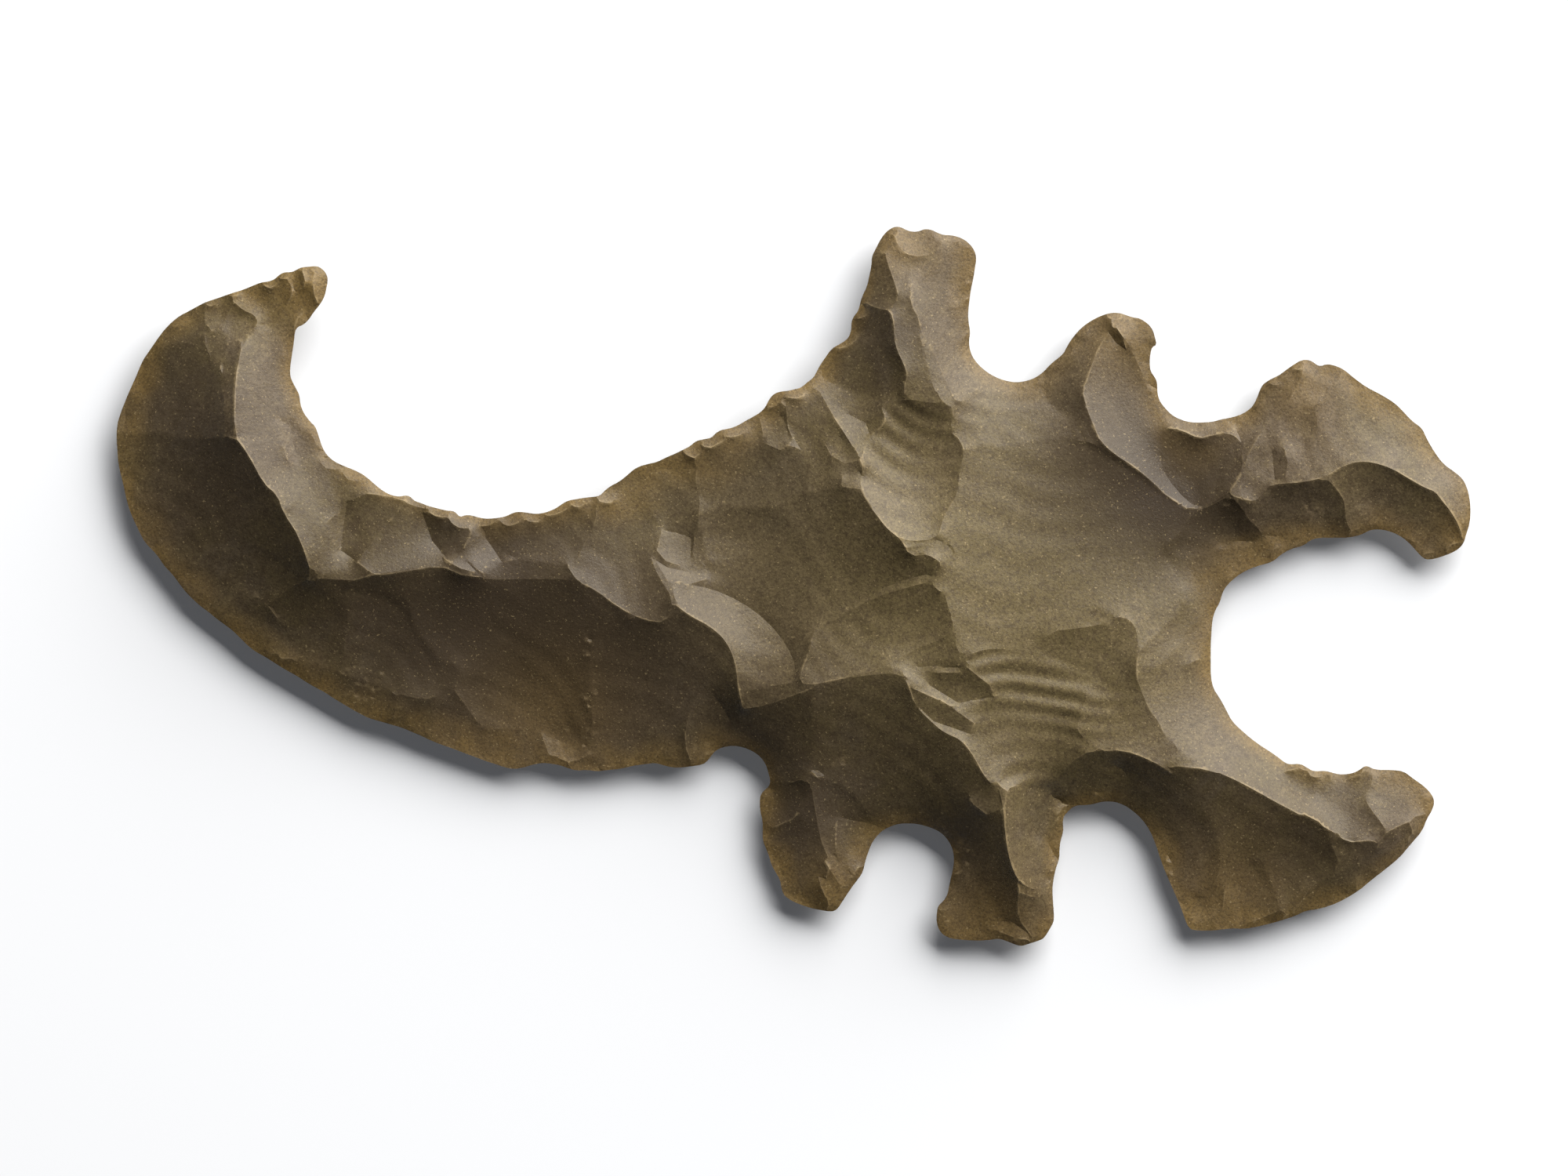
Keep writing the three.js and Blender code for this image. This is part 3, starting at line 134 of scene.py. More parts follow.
# One row for each scar, oldest first: its name, the way it faces in degrees from the jaws' side, how steep it
# is, how hollow it is and its outline. The first three are the ground that the others are cut into.
SCARS = [
    # The ground.
    ("base", 90, 0.02, 0,
     "60,200 1980,200 1980,1300 60,1300"),
    ("base upper", 250, 0.1, 0,
     "830,560 1040,440 1080,250 1960,250 1960,760 1560,760 1400,800 900,790"),
    ("base lower", 262, 0.12, 0,
     "880,870 1250,860 1500,960 1850,1080 1850,1260 880,1260"),
    # The tail.
    ("back upper", 205, 0.68, 0.08,
     "140,552 150,520 170,478 187,447 206,415 260,380 304,368 300,430 289,440 282,468 287,480 290,520 "
     "296,556 265,560 220,557 205,551 180,554 158,552"),
    ("back lower", 214, 0.54, 0.08,
     "140,552 158,552 180,554 205,551 220,557 265,560 303,557 320,580 340,618 357,632 365,655 385,685 "
     "402,738 380,745 350,768 340,770 330,750 322,703 300,700 280,700 262,708 238,722 210,734 190,706 "
     "163,666 150,620 142,575"),
    ("back top", 200, 0.44, 0.1,
     "262,425 262,400 255,385 225,400 205,418 190,445 215,440 240,437"),
    ("fan low left", 218, 0.34, 0.08,
     "205,728 238,722 262,708 285,700 325,703 350,715 385,738 360,752 350,768 340,770 331,762 330,750 "
     "318,768 305,785 292,806 280,800 240,768"),
    ("below the step", 228, 0.38, 0.08,
     "331,760 345,775 362,800 357,806 343,822 340,842 325,834 308,822 290,803 300,785 318,765"),
    ("behind the step", 232, 0.34, 0.1,
     "350,768 370,750 400,737 445,740 480,742 446,757 445,790 440,820 438,860 420,858 390,850 375,838 "
     "366,812 352,778 340,770"),
    ("low B", 240, 0.54, 0.08,
     "440,745 478,733 520,726 560,720 600,738 700,737 735,718 760,750 792,774 812,785 770,808 757,825 "
     "750,860 755,905 760,995 735,990 703,982 656,990 620,980 563,958 512,936 470,922 500,882 540,893 "
     "565,885 545,840 522,790 485,757 446,757"),
    ("low A", 228, 0.3, 0.1,
     "446,757 480,757 502,770 522,790 545,840 565,885 540,893 500,882 470,870 438,860 438,845 445,800"),
    ("low C", 236, 0.48, 0.1,
     "812,785 835,776 858,768 880,785 905,798 925,815 938,840 942,880 950,903 950,965 885,985 846,984 "
     "806,985 760,995 755,905 750,860 757,825 775,805"),
    ("grey chip", 262, 0.16, 0.12,
     "880,905 900,882 915,890 932,920 950,952 913,965 900,980 885,982 872,945"),
    ("olive facet", 170, 0.12, 0.05,
     "343,825 350,808 360,802 366,815 378,840 360,840 343,834"),
    ("lower rim", 240, 0.34, 0.1,
     "335,838 375,841 430,857 470,871 503,882 520,905 480,925 458,918 414,893 365,865"),
    ("inner strip", 14, 0.32, 0.1,
     "312,436 303,480 302,556 320,580 340,618 357,632 365,655 385,685 402,738 460,720 440,640 425,600 "
     "425,560 395,520 378,480 385,430 350,420 330,425"),
    ("dark strip", 212, 0.54, 0.08,
     "289,440 310,432 308,460 303,480 302,520 303,557 293,556 290,520 286,480 288,458"),
    ("point scar", 220, 0.5, 0.1,
     "262,428 285,420 291,440 288,455 281,470 268,452 263,440"),
    ("hollow 400", 40, 0.34, 0.16,
     "352,628 345,600 360,570 372,560 385,590 400,610 380,640 365,655 357,632"),
    ("inner B", 32, 0.18, 0.14,
     "372,560 375,530 385,505 400,530 412,555 425,585 432,610 445,640 440,655 420,668 405,720 385,685 "
     "366,655 385,640 400,612 385,590"),
    ("inner C", 40, 0.06, 0.14,
     "405,555 425,580 450,595 447,618 443,632 440,655 428,625 415,590"),
    ("inner D", 20, 0.26, 0.1,
     "440,652 425,660 412,675 402,738 420,722 460,718 440,705 425,690 424,668"),
    ("amber facet", 60, 0.06, 0.06,
     "445,600 463,600 485,614 478,619 455,632 446,625"),
    ("inner E", 38, 0.4, 0.12,
     "443,632 455,632 478,618 500,628 526,630 510,644 475,695 456,715 440,705 425,690 422,668 440,650"),
    ("inner F", 235, 0.3, 0.24,
     "516,638 522,625 560,640 545,650 538,668 543,685 562,705 600,730 560,722 520,729 478,735 458,715 "
     "475,695"),
    ("inner G", 38, 0.38, 0.12,
     "545,648 560,640 589,652 610,650 618,680 600,693 586,706 600,720 612,732 580,722 558,704 543,685 "
     "537,668"),
    ("bright fan", 30, 0.3, 0.1,
     "619,678 600,693 586,706 602,720 618,732 640,733 630,715 622,700"),
    ("inner H", 238, 0.32, 0.2,
     "604,655 630,650 654,647 711,640 770,625 762,650 760,670 745,695 736,722 690,718 660,713 645,705 "
     "627,690 619,678"),
    ("olive strip", 215, 0.5, 0.06,
     "618,732 650,712 690,717 737,721 745,738 730,740 700,738 650,739 612,738"),
    ("inner I", 225, 0.28, 0.2,
     "762,640 790,605 815,588 842,584 830,605 828,625 833,660 842,662 845,678 838,695 828,705 840,735 "
     "860,765 850,795 820,790 790,775 760,752 738,742 722,718 736,718 745,695 760,670"),
    ("step scar", 215, 0.34, 0.16,
     "842,584 872,566 893,572 888,600 888,640 887,685 882,710 900,720 903,740 858,742 850,728 835,715 "
     "828,705 838,695 845,678 842,662 833,660 828,625 830,605"),
    ("tip bowl", 225, 0.66, 0.26,
     "296,372 320,358 352,348 372,360 374,378 365,395 350,412 338,417 322,410 312,398 298,388"),
    ("dark bowl", 225, 0.8, 0.26,
     "298,385 312,397 325,402 331,413 318,427 298,434 284,430 286,415 290,400"),
    ("textured 278", 215, 0.5, 0.2,
     "262,390 280,378 298,380 297,392 290,402 286,418 272,424 262,412"),
    ("inner tip", 200, 0.2, 0.12,
     "374,375 382,370 402,362 409,385 415,395 395,415 385,428 350,425 338,417 350,412 365,395"),
    ("scallop a", 210, 0.8, 0.3,
     "364,352 372,346 385,342 391,355 388,368 378,373 370,362"),
    ("scallop b", 150, 0.12, 0.25,
     "385,342 402,336 402,352 396,364 390,358"),
    ("tip facet", 20, 0.3, 0.05,
     "402,336 425,345 425,372 410,395 402,378 400,360 402,350"),
    # The body, the prongs, the legs and the jaws.
    ("bowl under prong", 218, 0.48, 0.22,
     "1015,505 1048,463 1060,440 1080,425 1095,395 1135,397 1140,430 1156,480 1153,505 1122,517 1130,535 "
     "1120,550 1110,556 1102,572 1102,600 1090,582 1066,540 1040,515"),
    ("ellipse", 222, 0.42, 0.14,
     "885,585 890,560 940,535 965,525 970,560 1000,568 1020,572 1030,585 1034,610 1030,630 1000,640 "
     "975,648 940,646 915,648 895,638 889,622 893,608"),
    ("facet 985", 195, 0.66, 0.1,
     "962,530 985,505 1003,520 1005,545 1012,562 995,562 975,560 967,550"),
    ("left of strip", 218, 0.54, 0.14,
     "1000,500 1040,490 1062,530 1080,558 1099,590 1100,606 1096,622 1032,626 1034,604 1030,585 1016,566 "
     "1006,545"),
    ("bump", 210, 0.3, 0.05,
     "1058,562 1066,572 1078,584 1090,584 1080,566 1068,556"),
    ("yellow facet", 30, 0.16, 0,
     "1072,622 1075,607 1096,602 1100,612 1096,622"),
    ("bright strip", 30, 0, 0.1,
     "1062,531 1080,558 1097,584 1102,600 1100,577 1110,558 1104,540 1080,528"),
    ("big left bowl", 215, 0.3, 0.14,
     "905,645 940,647 975,648 1010,640 1032,626 1096,622 1100,632 1115,655 1135,678 1150,690 1158,708 "
     "1180,706 1203,720 1185,735 1160,742 1120,757 1080,778 1045,798 1035,812 1030,835 1020,862 1000,890 "
     "965,905 950,912 942,880 939,850 933,830 922,812 905,798 880,785 862,768 858,745 870,738 905,738 "
     "900,718 885,712 895,690 893,665"),
    ("sandy band", 42, 0.26, 0.2,
     "858,745 888,746 925,757 962,778 992,806 1012,838 1016,866 1000,890 965,905 950,912 942,880 939,850 "
     "933,830 922,812 905,798 880,785 862,768"),
    ("small patch", 80, 0.14, 0.1,
     "955,880 1000,872 1022,868 1040,876 1030,890 1000,892 975,900 958,908"),
    ("crest strip", 55, 0.4, 0,
     "1036,806 1080,774 1120,752 1160,737 1188,732 1186,742 1160,748 1120,763 1080,784 1042,804"),
    ("lens", 60, 0.2, 0.24,
     "1020,870 1023,850 1033,830 1036,812 1042,800 1080,780 1120,760 1160,748 1188,748 1200,758 1207,778 "
     "1218,800 1200,815 1170,826 1140,843 1120,853 1095,860 1060,868 1035,873"),
    ("rays", 40, 0.32, 0.08,
     "1148,688 1165,690 1200,688 1217,705 1212,725 1207,750 1200,757 1185,742 1203,720 1185,707 1160,710"),
    ("rippled", 50, 0.06, 0.32,
     "1122,517 1131,535 1122,548 1122,553 1112,555 1110,562 1099,578 1103,600 1097,612 1100,630 1112,648 "
     "1122,664 1134,678 1148,687 1165,691 1190,687 1198,680 1200,668 1207,652 1218,635 1222,620 1223,600 "
     "1229,580 1226,562 1213,550 1212,540 1216,528 1210,520 1195,513 1150,510"),
    ("central", 55, 0.17, 0.1,
     "1228,572 1260,566 1320,562 1370,562 1400,577 1440,600 1485,635 1522,652 1505,680 1480,700 1500,725 "
     "1510,745 1508,775 1478,803 1452,828 1450,870 1395,868 1358,844 1300,831 1270,826 1235,835 1218,830 "
     "1218,800 1205,765 1205,750 1215,720 1218,700 1200,688 1197,680 1207,652 1222,630 1224,600 1229,585"),
    ("streaky", 50, 0.14, 0.1,
     "1240,430 1290,470 1345,440 1350,470 1365,498 1382,500 1385,520 1395,545 1405,570 1380,562 1330,561 "
     "1260,566 1229,571 1222,556 1212,545 1217,528 1210,515 1222,490"),
    ("streak arc", 60, 0.04, 0,
     "1252,548 1275,540 1300,548 1340,556 1372,560 1340,566 1290,566 1262,566"),
    ("olive corner", 60, 0.2, 0.05,
     "1212,552 1222,546 1240,552 1255,560 1245,572 1229,574 1222,560"),
    ("notch rim 1", 75, 0.06, 0,
     "1240,440 1250,478 1275,492 1310,498 1335,495 1345,480 1345,450 1290,475"),
    ("medium patch", 190, 0.16, 0.08,
     "1335,482 1345,496 1365,500 1380,500 1386,520 1378,535 1358,528 1342,520 1330,500"),
    ("prong2 bowl", 45, 0.46, 0.2,
     "1418,420 1400,445 1390,470 1380,497 1385,520 1395,545 1402,562 1418,578 1445,595 1470,615 1490,635 "
     "1522,652 1542,641 1563,632 1578,608 1585,585 1583,572 1572,560 1560,553 1540,558 1520,560 1500,545 "
     "1482,525 1466,500 1458,478 1450,460 1435,430"),
    ("prong2 left", 212, 0.2, 0.1,
     "1330,450 1356,440 1385,400 1412,395 1419,405 1419,420 1401,443 1391,470 1381,498 1362,500 1345,496 "
     "1332,480"),
    ("prong2 right", 32, 0.62, 0.05,
     "1416,395 1440,390 1480,400 1485,440 1472,455 1480,480 1484,505 1466,500 1458,478 1450,460 1436,432 "
     "1419,420"),
    ("notch rim 2", 60, 0.5, 0.1,
     "1466,498 1480,500 1500,520 1540,532 1590,520 1605,530 1583,545 1562,552 1540,559 1520,561 1500,547 "
     "1480,527"),
    ("prong1 low dark", 220, 0.78, 0.12,
     "1075,430 1080,400 1100,385 1120,395 1135,397 1140,415 1140,432 1144,449 1152,465 1157,480 1153,492 "
     "1153,507 1130,514 1090,500 1060,490 1045,478 1060,445"),
    ("prong1 up dark", 212, 0.42, 0.08,
     "1090,395 1098,360 1105,315 1128,318 1135,345 1142,365 1146,381 1135,397 1120,395 1100,385"),
    ("prong1 corner", 190, 0.16, 0.06,
     "1108,325 1120,300 1132,292 1142,288 1141,305 1128,322 1118,326"),
    ("prong1 mid low", 240, 0.06, 0.08,
     "1147,380 1135,397 1140,415 1141,432 1144,449 1152,465 1157,480 1153,492 1153,508 1180,514 1200,515 "
     "1191,497 1183,475 1180,450 1173,432 1170,410 1162,388 1158,365"),
    ("prong1 mid up", 75, 0.02, 0.06,
     "1141,305 1128,322 1135,345 1142,365 1147,380 1156,368 1160,361 1177,357 1185,345 1199,320 1175,329 "
     "1152,324"),
    ("prong1 right", 35, 0.42, 0.14,
     "1200,317 1186,345 1177,357 1160,361 1163,388 1172,410 1176,430 1190,452 1203,480 1221,520 1240,500 "
     "1262,490 1250,440 1245,400 1260,330 1240,295 1205,295"),
    ("prong1 sliver", 55, 0.22, 0.05,
     "1172,418 1174,432 1181,450 1184,475 1192,497 1203,516 1221,522 1206,488 1192,455 1180,434"),
    ("prong1 bowl", 90, 0.24, 0.22,
     "1141,285 1142,305 1148,317 1160,326 1175,328 1190,322 1200,314 1206,290 1180,280"),
    ("prong1 chip", 45, 0.46, 0.1,
     "1208,372 1213,364 1222,360 1231,363 1238,372 1235,390 1215,390"),
    ("jaw face", 48, 0.5, 0.1,
     "1663,455 1720,450 1800,500 1850,580 1890,620 1890,690 1866,692 1862,672 1850,652 1840,640 1830,627 "
     "1818,623 1800,613 1775,598 1750,590 1730,589 1710,596 1690,609 1660,616 1620,618 1610,630 1600,640 "
     "1580,636 1567,631 1572,618 1587,598 1591,580 1602,560 1620,538 1643,512 1657,490"),
    ("jaw left", 215, 0.5, 0.1,
     "1583,560 1575,545 1590,525 1600,505 1612,480 1640,465 1664,455 1664,470 1657,490 1644,512 1634,526 "
     "1620,538 1608,550 1601,563 1591,582 1586,585"),
    ("jaw top facet", 70, 0.42, 0.08,
     "1664,458 1672,455 1712,462 1712,478 1700,498 1688,512 1672,520 1650,512 1660,488"),
    ("jaw small step", 60, 0.3, 0.06,
     "1658,531 1680,525 1680,558 1668,577 1661,565"),
    ("jaw small block", 48, 0.55, 0.04,
     "1620,576 1640,574 1636,596 1634,616 1621,616"),
    ("jaw under", 240, 0.35, 0.18,
     "1600,640 1612,628 1622,619 1650,618 1690,610 1703,622 1713,635 1716,650 1717,665 1724,678 1735,690 "
     "1700,695 1682,692 1668,700 1640,700 1632,686 1612,684 1600,675 1585,662 1583,648"),
    ("jaw low bowl", 240, 0.22, 0.22,
     "1690,609 1710,596 1730,589 1750,590 1775,598 1800,613 1818,623 1830,627 1840,640 1850,652 1862,672 "
     "1868,695 1850,715 1820,725 1795,700 1778,685 1748,682 1733,690 1723,674 1717,656 1715,640 1705,625"),
    ("jaw bright chip", 40, 0.1, 0,
     "1735,657 1732,646 1745,636 1752,640 1750,655 1742,661"),
    ("triangle", 240, 0.27, 0.2,
     "1520,655 1545,645 1568,632 1584,648 1592,662 1605,675 1614,684 1590,686 1560,697 1535,703 1526,720 "
     "1510,712 1482,700 1505,682"),
    ("triangle shelf", 110, 0.1, 0.06,
     "1555,698 1590,686 1614,683 1632,685 1602,696 1565,702"),
    ("corner rim", 215, 0.36, 0.08,
     "1526,745 1520,725 1528,712 1545,703 1560,701 1548,713 1536,730 1531,746"),
    ("mouth corner", 150, 0.12, 0.16,
     "1530,748 1538,729 1550,711 1565,701 1602,694 1632,684 1650,692 1660,705 1624,725 1584,740 1570,755 "
     "1552,742"),
    ("mouth facet a", 45, 0.32, 0.1,
     "1510,746 1525,742 1531,748 1545,739 1575,745 1570,770 1555,795 1546,800 1522,799 1512,778 1508,762"),
    ("dark block", 240, 0.06, 0.12,
     "1330,806 1400,798 1410,790 1432,786 1446,796 1451,815 1450,870 1430,882 1395,868 1380,856 1355,843 "
     "1330,835"),
    ("mouth rim", 38, 0.4, 0.14,
     "1452,829 1478,804 1497,791 1508,775 1522,797 1560,800 1565,860 1590,900 1640,950 1700,960 1840,960 "
     "1845,1030 1800,1046 1768,1060 1757,1074 1745,1071 1726,1074 1712,1070 1698,1060 1680,1052 1655,1041 "
     "1640,1030 1615,1016 1590,1002 1570,992 1545,981 1520,969 1502,957 1496,946 1484,938 1477,920 "
     "1466,907 1458,889 1449,870 1448,845"),
    ("mouth facet b", 60, 0.26, 0.1,
     "1453,829 1478,804 1497,791 1508,775 1523,797 1512,810 1502,824 1490,815"),
    ("jaw edge bowl", 230, 0.14, 0.18,
     "1642,965 1640,1000 1655,1010 1675,1013 1688,1008 1697,996 1701,975 1680,970"),
    ("jaw mid facet", 215, 0.06, 0.12,
     "1700,982 1725,975 1742,968 1752,985 1750,1000 1743,1013 1742,1022 1752,1037 1760,1047 1769,1061 "
     "1757,1075 1730,1073 1712,1068 1690,1050 1685,1020 1697,1000"),
    ("jaw tip face", 48, 0.34, 0.08,
     "1752,984 1765,970 1840,990 1845,1030 1820,1042 1800,1046 1769,1061 1757,1040 1743,1018 1750,1000"),
    ("jaw tip a", 340, 0.22, 0.08,
     "1797,1049 1806,1041 1820,1038 1830,1045 1810,1082 1802,1072 1800,1060"),
    ("jaw tip b", 238, 0.4, 0.08,
     "1769,1061 1782,1054 1797,1048 1802,1060 1798,1072 1788,1083 1780,1066"),
    ("jaw tip c", 236, 0.46, 0.08,
     "1757,1075 1768,1062 1779,1063 1786,1077 1792,1088 1780,1105 1764,1115 1762,1096"),
    ("banded", 60, 0.26, 0.1,
     "1395,868 1430,881 1450,868 1458,889 1466,908 1478,922 1484,938 1497,947 1502,958 1530,973 1560,988 "
     "1590,1003 1620,1018 1590,1030 1545,1035 1530,1010 1500,988 1465,968 1432,956 1400,957 1378,938 "
     "1372,925 1382,895 1388,880"),
    ("arcs", 60, 0.24, 0.14,
     "1228,840 1245,830 1270,826 1300,831 1340,839 1358,844 1375,856 1394,868 1386,885 1379,905 1372,928 "
     "1378,940 1400,957 1410,975 1395,1000 1365,1025 1320,1020 1290,1012 1272,1000 1262,978 1250,945 "
     "1240,925 1225,911 1212,900 1225,896 1262,892 1266,880 1262,868 1248,860 1236,848"),
    ("ripple bands", 60, 0.44, 0.16,
     "1148,858 1160,852 1190,848 1218,850 1236,848 1248,861 1260,868 1266,880 1262,892 1245,893 1222,898 "
     "1210,901 1198,892 1180,880 1163,868"),
    ("strand top", 100, 0.16, 0.1,
     "1130,850 1160,834 1190,820 1205,817 1218,822 1222,838 1200,842 1175,844 1150,856"),
    ("fibres", 45, 0.42, 0.08,
     "1152,860 1170,870 1190,885 1211,902 1230,915 1247,926 1252,940 1264,958 1278,975 1275,992 1264,1000 "
     "1252,985 1242,965 1225,942 1205,935 1190,922 1174,907 1163,893"),
    ("mid low", 240, 0.26, 0.06,
     "945,905 975,900 1035,878 1060,868 1100,861 1150,857 1160,880 1165,895 1176,910 1190,923 1205,934 "
     "1224,942 1240,965 1252,987 1264,1002 1275,1040 1215,1090 1180,1060 1145,1045 1110,1062 1065,1040 "
     "1040,1035 1033,990 1000,1000 975,975 950,950 930,945"),
    ("mid low left", 230, 0.27, 0.06,
     "938,905 975,900 1035,880 1038,930 1035,990 1000,1005 970,1015 975,970 950,945 930,935"),
    ("D notch 4", 225, 0.44, 0.1,
     "1380,960 1400,957 1432,956 1465,969 1500,989 1520,1003 1535,1027 1550,1055 1557,1085 1557,1110 "
     "1545,1135 1530,1140 1520,1160 1490,1140 1470,1080 1440,1020 1395,1015 1362,1030 1340,1020 1345,990"),
    ("grey facet", 150, 0.14, 0.05,
     "1418,974 1431,980 1438,990 1437,1005 1432,1025 1405,1025 1400,1018 1408,1000 1412,985"),
    ("thin line", 225, 0.34, 0,
     "1430,1020 1452,1034 1474,1048 1492,1068 1501,1086 1495,1084 1484,1068 1466,1050 1446,1038"),
    ("notch chip", 80, 0.4, 0,
     "1482,1085 1490,1090 1497,1105 1496,1118 1488,1115 1483,1100"),
    ("jaw underside", 236, 0.42, 0.06,
     "1485,975 1545,981 1590,1002 1640,1030 1700,1060 1712,1070 1740,1110 1720,1150 1600,1200 1510,1200 "
     "1505,1165 1530,1140 1545,1134 1557,1110 1556,1080 1549,1055 1534,1027 1520,1003 1500,989"),
    ("jaw under p", 236, 0.56, 0.12,
     "1615,1066 1640,1056 1690,1072 1697,1082 1705,1108 1690,1120 1672,1130 1664,1145 1650,1165 1632,1158 "
     "1621,1130 1615,1105 1608,1088"),
    ("jaw under q", 232, 0.7, 0.1,
     "1598,1100 1607,1093 1615,1108 1621,1130 1631,1157 1645,1170 1620,1190 1590,1192 1580,1160 1585,1137 "
     "1595,1120"),
    ("jaw under r", 236, 0.47, 0.14,
     "1698,1066 1712,1070 1726,1074 1745,1071 1757,1074 1763,1096 1760,1125 1735,1145 1710,1135 1702,1117 "
     "1706,1105 1700,1092"),
    ("jaw rim", 270, 0.36, 0.05,
     "1650,1165 1664,1143 1672,1130 1705,1115 1735,1128 1757,1112 1790,1088 1800,1100 1740,1150 1709,1165 "
     "1670,1175"),
    ("leg2 dark", 228, 0.46, 0.1,
     "1215,1070 1222,1040 1250,1000 1272,1000 1279,1030 1281,1062 1286,1092 1293,1112 1300,1123 1300,1165 "
     "1290,1172 1275,1185 1240,1205 1200,1200 1185,1170 1205,1140 1212,1110"),
    ("leg2 lit", 24, 0.85, 0.14,
     "1283,1005 1300,1000 1325,1008 1362,1025 1365,1060 1355,1110 1346,1128 1330,1134 1315,1133 1301,1124 "
     "1293,1110 1287,1092 1281,1062 1279,1030"),
    ("leg2 corner", 35, 0.6, 0.12,
     "1319,1022 1345,1024 1362,1028 1352,1040 1343,1053 1338,1066 1330,1073 1322,1060 1317,1040"),
    ("leg2 textured", 20, 0.28, 0.1,
     "1362,1030 1368,1045 1362,1085 1352,1100 1341,1082 1335,1070 1343,1053"),
    ("leg2 low", 345, 0.16, 0.1,
     "1300,1124 1315,1133 1330,1134 1350,1126 1355,1180 1335,1205 1318,1198 1312,1188 1303,1178 1297,1160"),
    ("leg2 foot", 255, 0.06, 0.16,
     "1262,1183 1275,1186 1292,1172 1304,1178 1313,1190 1320,1205 1300,1215 1275,1205 1240,1208 1215,1205 "
     "1230,1190"),
    ("leg1 dark", 230, 0.6, 0.1,
     "984,996 1000,1000 1030,992 1038,1020 1043,1050 1048,1075 1060,1100 1085,1112 1080,1150 1062,1175 "
     "1000,1155 965,1080 960,1020"),
    ("leg1 shoulder", 236, 0.3, 0.08,
     "1033,990 1080,1000 1115,1045 1100,1060 1068,1040 1066,1075 1067,1092 1060,1100 1048,1075 1043,1050 "
     "1038,1020"),
    ("leg1 lit", 28, 0.16, 0.12,
     "1068,1040 1085,1046 1110,1050 1130,1058 1115,1085 1108,1105 1100,1118 1085,1112 1075,1103 1067,1091 "
     "1065,1070"),
    ("leg1 tip", 290, 0.16, 0.1,
     "1060,1100 1075,1103 1085,1112 1098,1117 1090,1135 1075,1155 1062,1170 1055,1148 1052,1122"),
    ("leg1 chip", 200, 0.04, 0,
     "1044,1118 1052,1120 1058,1135 1062,1148 1053,1144 1047,1130"),
    ("chip 1040", 50, 0.2, 0,
     "1034,982 1044,982 1052,989 1042,991"),
    # Smaller scars, younger than the ones above.
    ("tail side strip", 215, 0.6, 0.1,
     "264,423 289,425 290,445 287,464 278,470 270,450"),
    ("groove bright", 30, 0.6, 0.05,
     "356,540 364,534 372,548 377,570 379,593 370,590 361,566"),
    ("fan left", 225, 0.46, 0.12,
     "444,640 470,630 500,634 519,640 484,682 456,715 436,702 440,668"),
    ("fan right", 32, 0.34, 0.12,
     "520,641 542,648 560,690 566,715 517,727 480,733 457,717 484,683"),
    ("arc scar", 232, 0.42, 0.16,
     "540,655 556,650 590,655 602,680 592,700 572,713 552,690"),
    ("small fan", 30, 0.5, 0.05,
     "584,708 600,696 617,682 630,700 641,717 610,722"),
    ("amber low", 255, 0.44, 0.12,
     "505,903 560,896 600,912 619,942 612,966 560,952 500,925"),
    ("hinge arc", 243, 0.42, 0.14,
     "600,815 646,821 668,850 678,880 677,904 662,928 615,930 580,880"),
    ("low wave", 215, 0.3, 0.24,
     "690,935 715,930 742,943 752,962 730,974 700,962"),
    ("mid arcs", 246, 0.44, 0.1,
     "520,760 580,745 620,770 640,820 610,860 560,840 530,800"),
    ("hackled column", 218, 0.34, 0.06,
     "832,600 884,596 893,640 890,684 868,682 846,672 832,655"),
    ("ledge a", 30, 0.2, 0.08,
     "846,676 882,686 881,712 870,722 850,716 838,702"),
    ("ledge shelf", 240, 0.26, 0.2,
     "893,655 960,650 1010,662 985,695 945,712 905,718 897,690"),
    ("shelf rim", 50, 0.26, 0.05,
     "836,714 852,724 880,730 905,724 904,738 880,745 853,742"),
    ("bump facet", 180, 0.36, 0.1,
     "969,533 990,525 1002,540 1008,566 996,575 976,566"),
    ("low bump", 205, 0.34, 0.18,
     "1052,566 1070,560 1090,572 1096,588 1078,592 1060,582"),
    ("streak lens", 60, 0.14, 0.05,
     "1253,548 1268,533 1300,529 1345,532 1362,545 1362,560 1320,562 1272,573 1256,562"),
    ("streak small", 60, 0.12, 0.1,
     "1216,512 1260,516 1256,528 1236,534 1220,528"),
    ("prong top arc", 200, 0.2, 0.1,
     "1414,424 1424,418 1432,430 1437,447 1424,438"),
    ("jaw block", 70, 0.16, 0.02,
     "1622,574 1636,571 1642,590 1638,614 1626,616"),
    ("notch facet", 228, 0.26, 0.26,
     "1484,546 1505,548 1530,560 1545,556 1566,552 1581,560 1585,575 1584,600 1572,622 1560,634 1528,650 "
     "1500,625 1478,590"),
    ("wedge under", 225, 0.5, 0.06,
     "1583,660 1600,668 1613,684 1600,691 1580,690 1570,672"),
    ("leg1 shoulder chip", 205, 0.5, 0.14,
     "970,1010 990,996 1025,1003 1031,1025 1010,1045 985,1056 972,1040"),
    ("leg1 band", 30, 0.2, 0.06,
     "1062,1088 1086,1116 1098,1116 1082,1140 1066,1120 1052,1098"),
    ("leg2 grey", 262, 0.1, 0.08,
     "1232,1005 1258,996 1272,1005 1276,1030 1258,1038 1240,1024"),
    ("leg2 corner b", 5, 0.5, 0.05,
     "1318,1026 1338,1020 1335,1050 1327,1070 1318,1058"),
    ("leg2 corner c", 60, 0.5, 0.05,
     "1338,1020 1364,1027 1344,1050 1335,1062"),
    ("leg2 step", 40, 0.4, 0.02,
     "1297,1125 1318,1134 1344,1127 1344,1137 1318,1144 1300,1137"),
    ("foot crest", 35, 0.24, 0.04,
     "1260,1182 1276,1174 1292,1176 1311,1190 1315,1201 1290,1194"),
    ("edge scallop", 232, 0.3, 0.24,
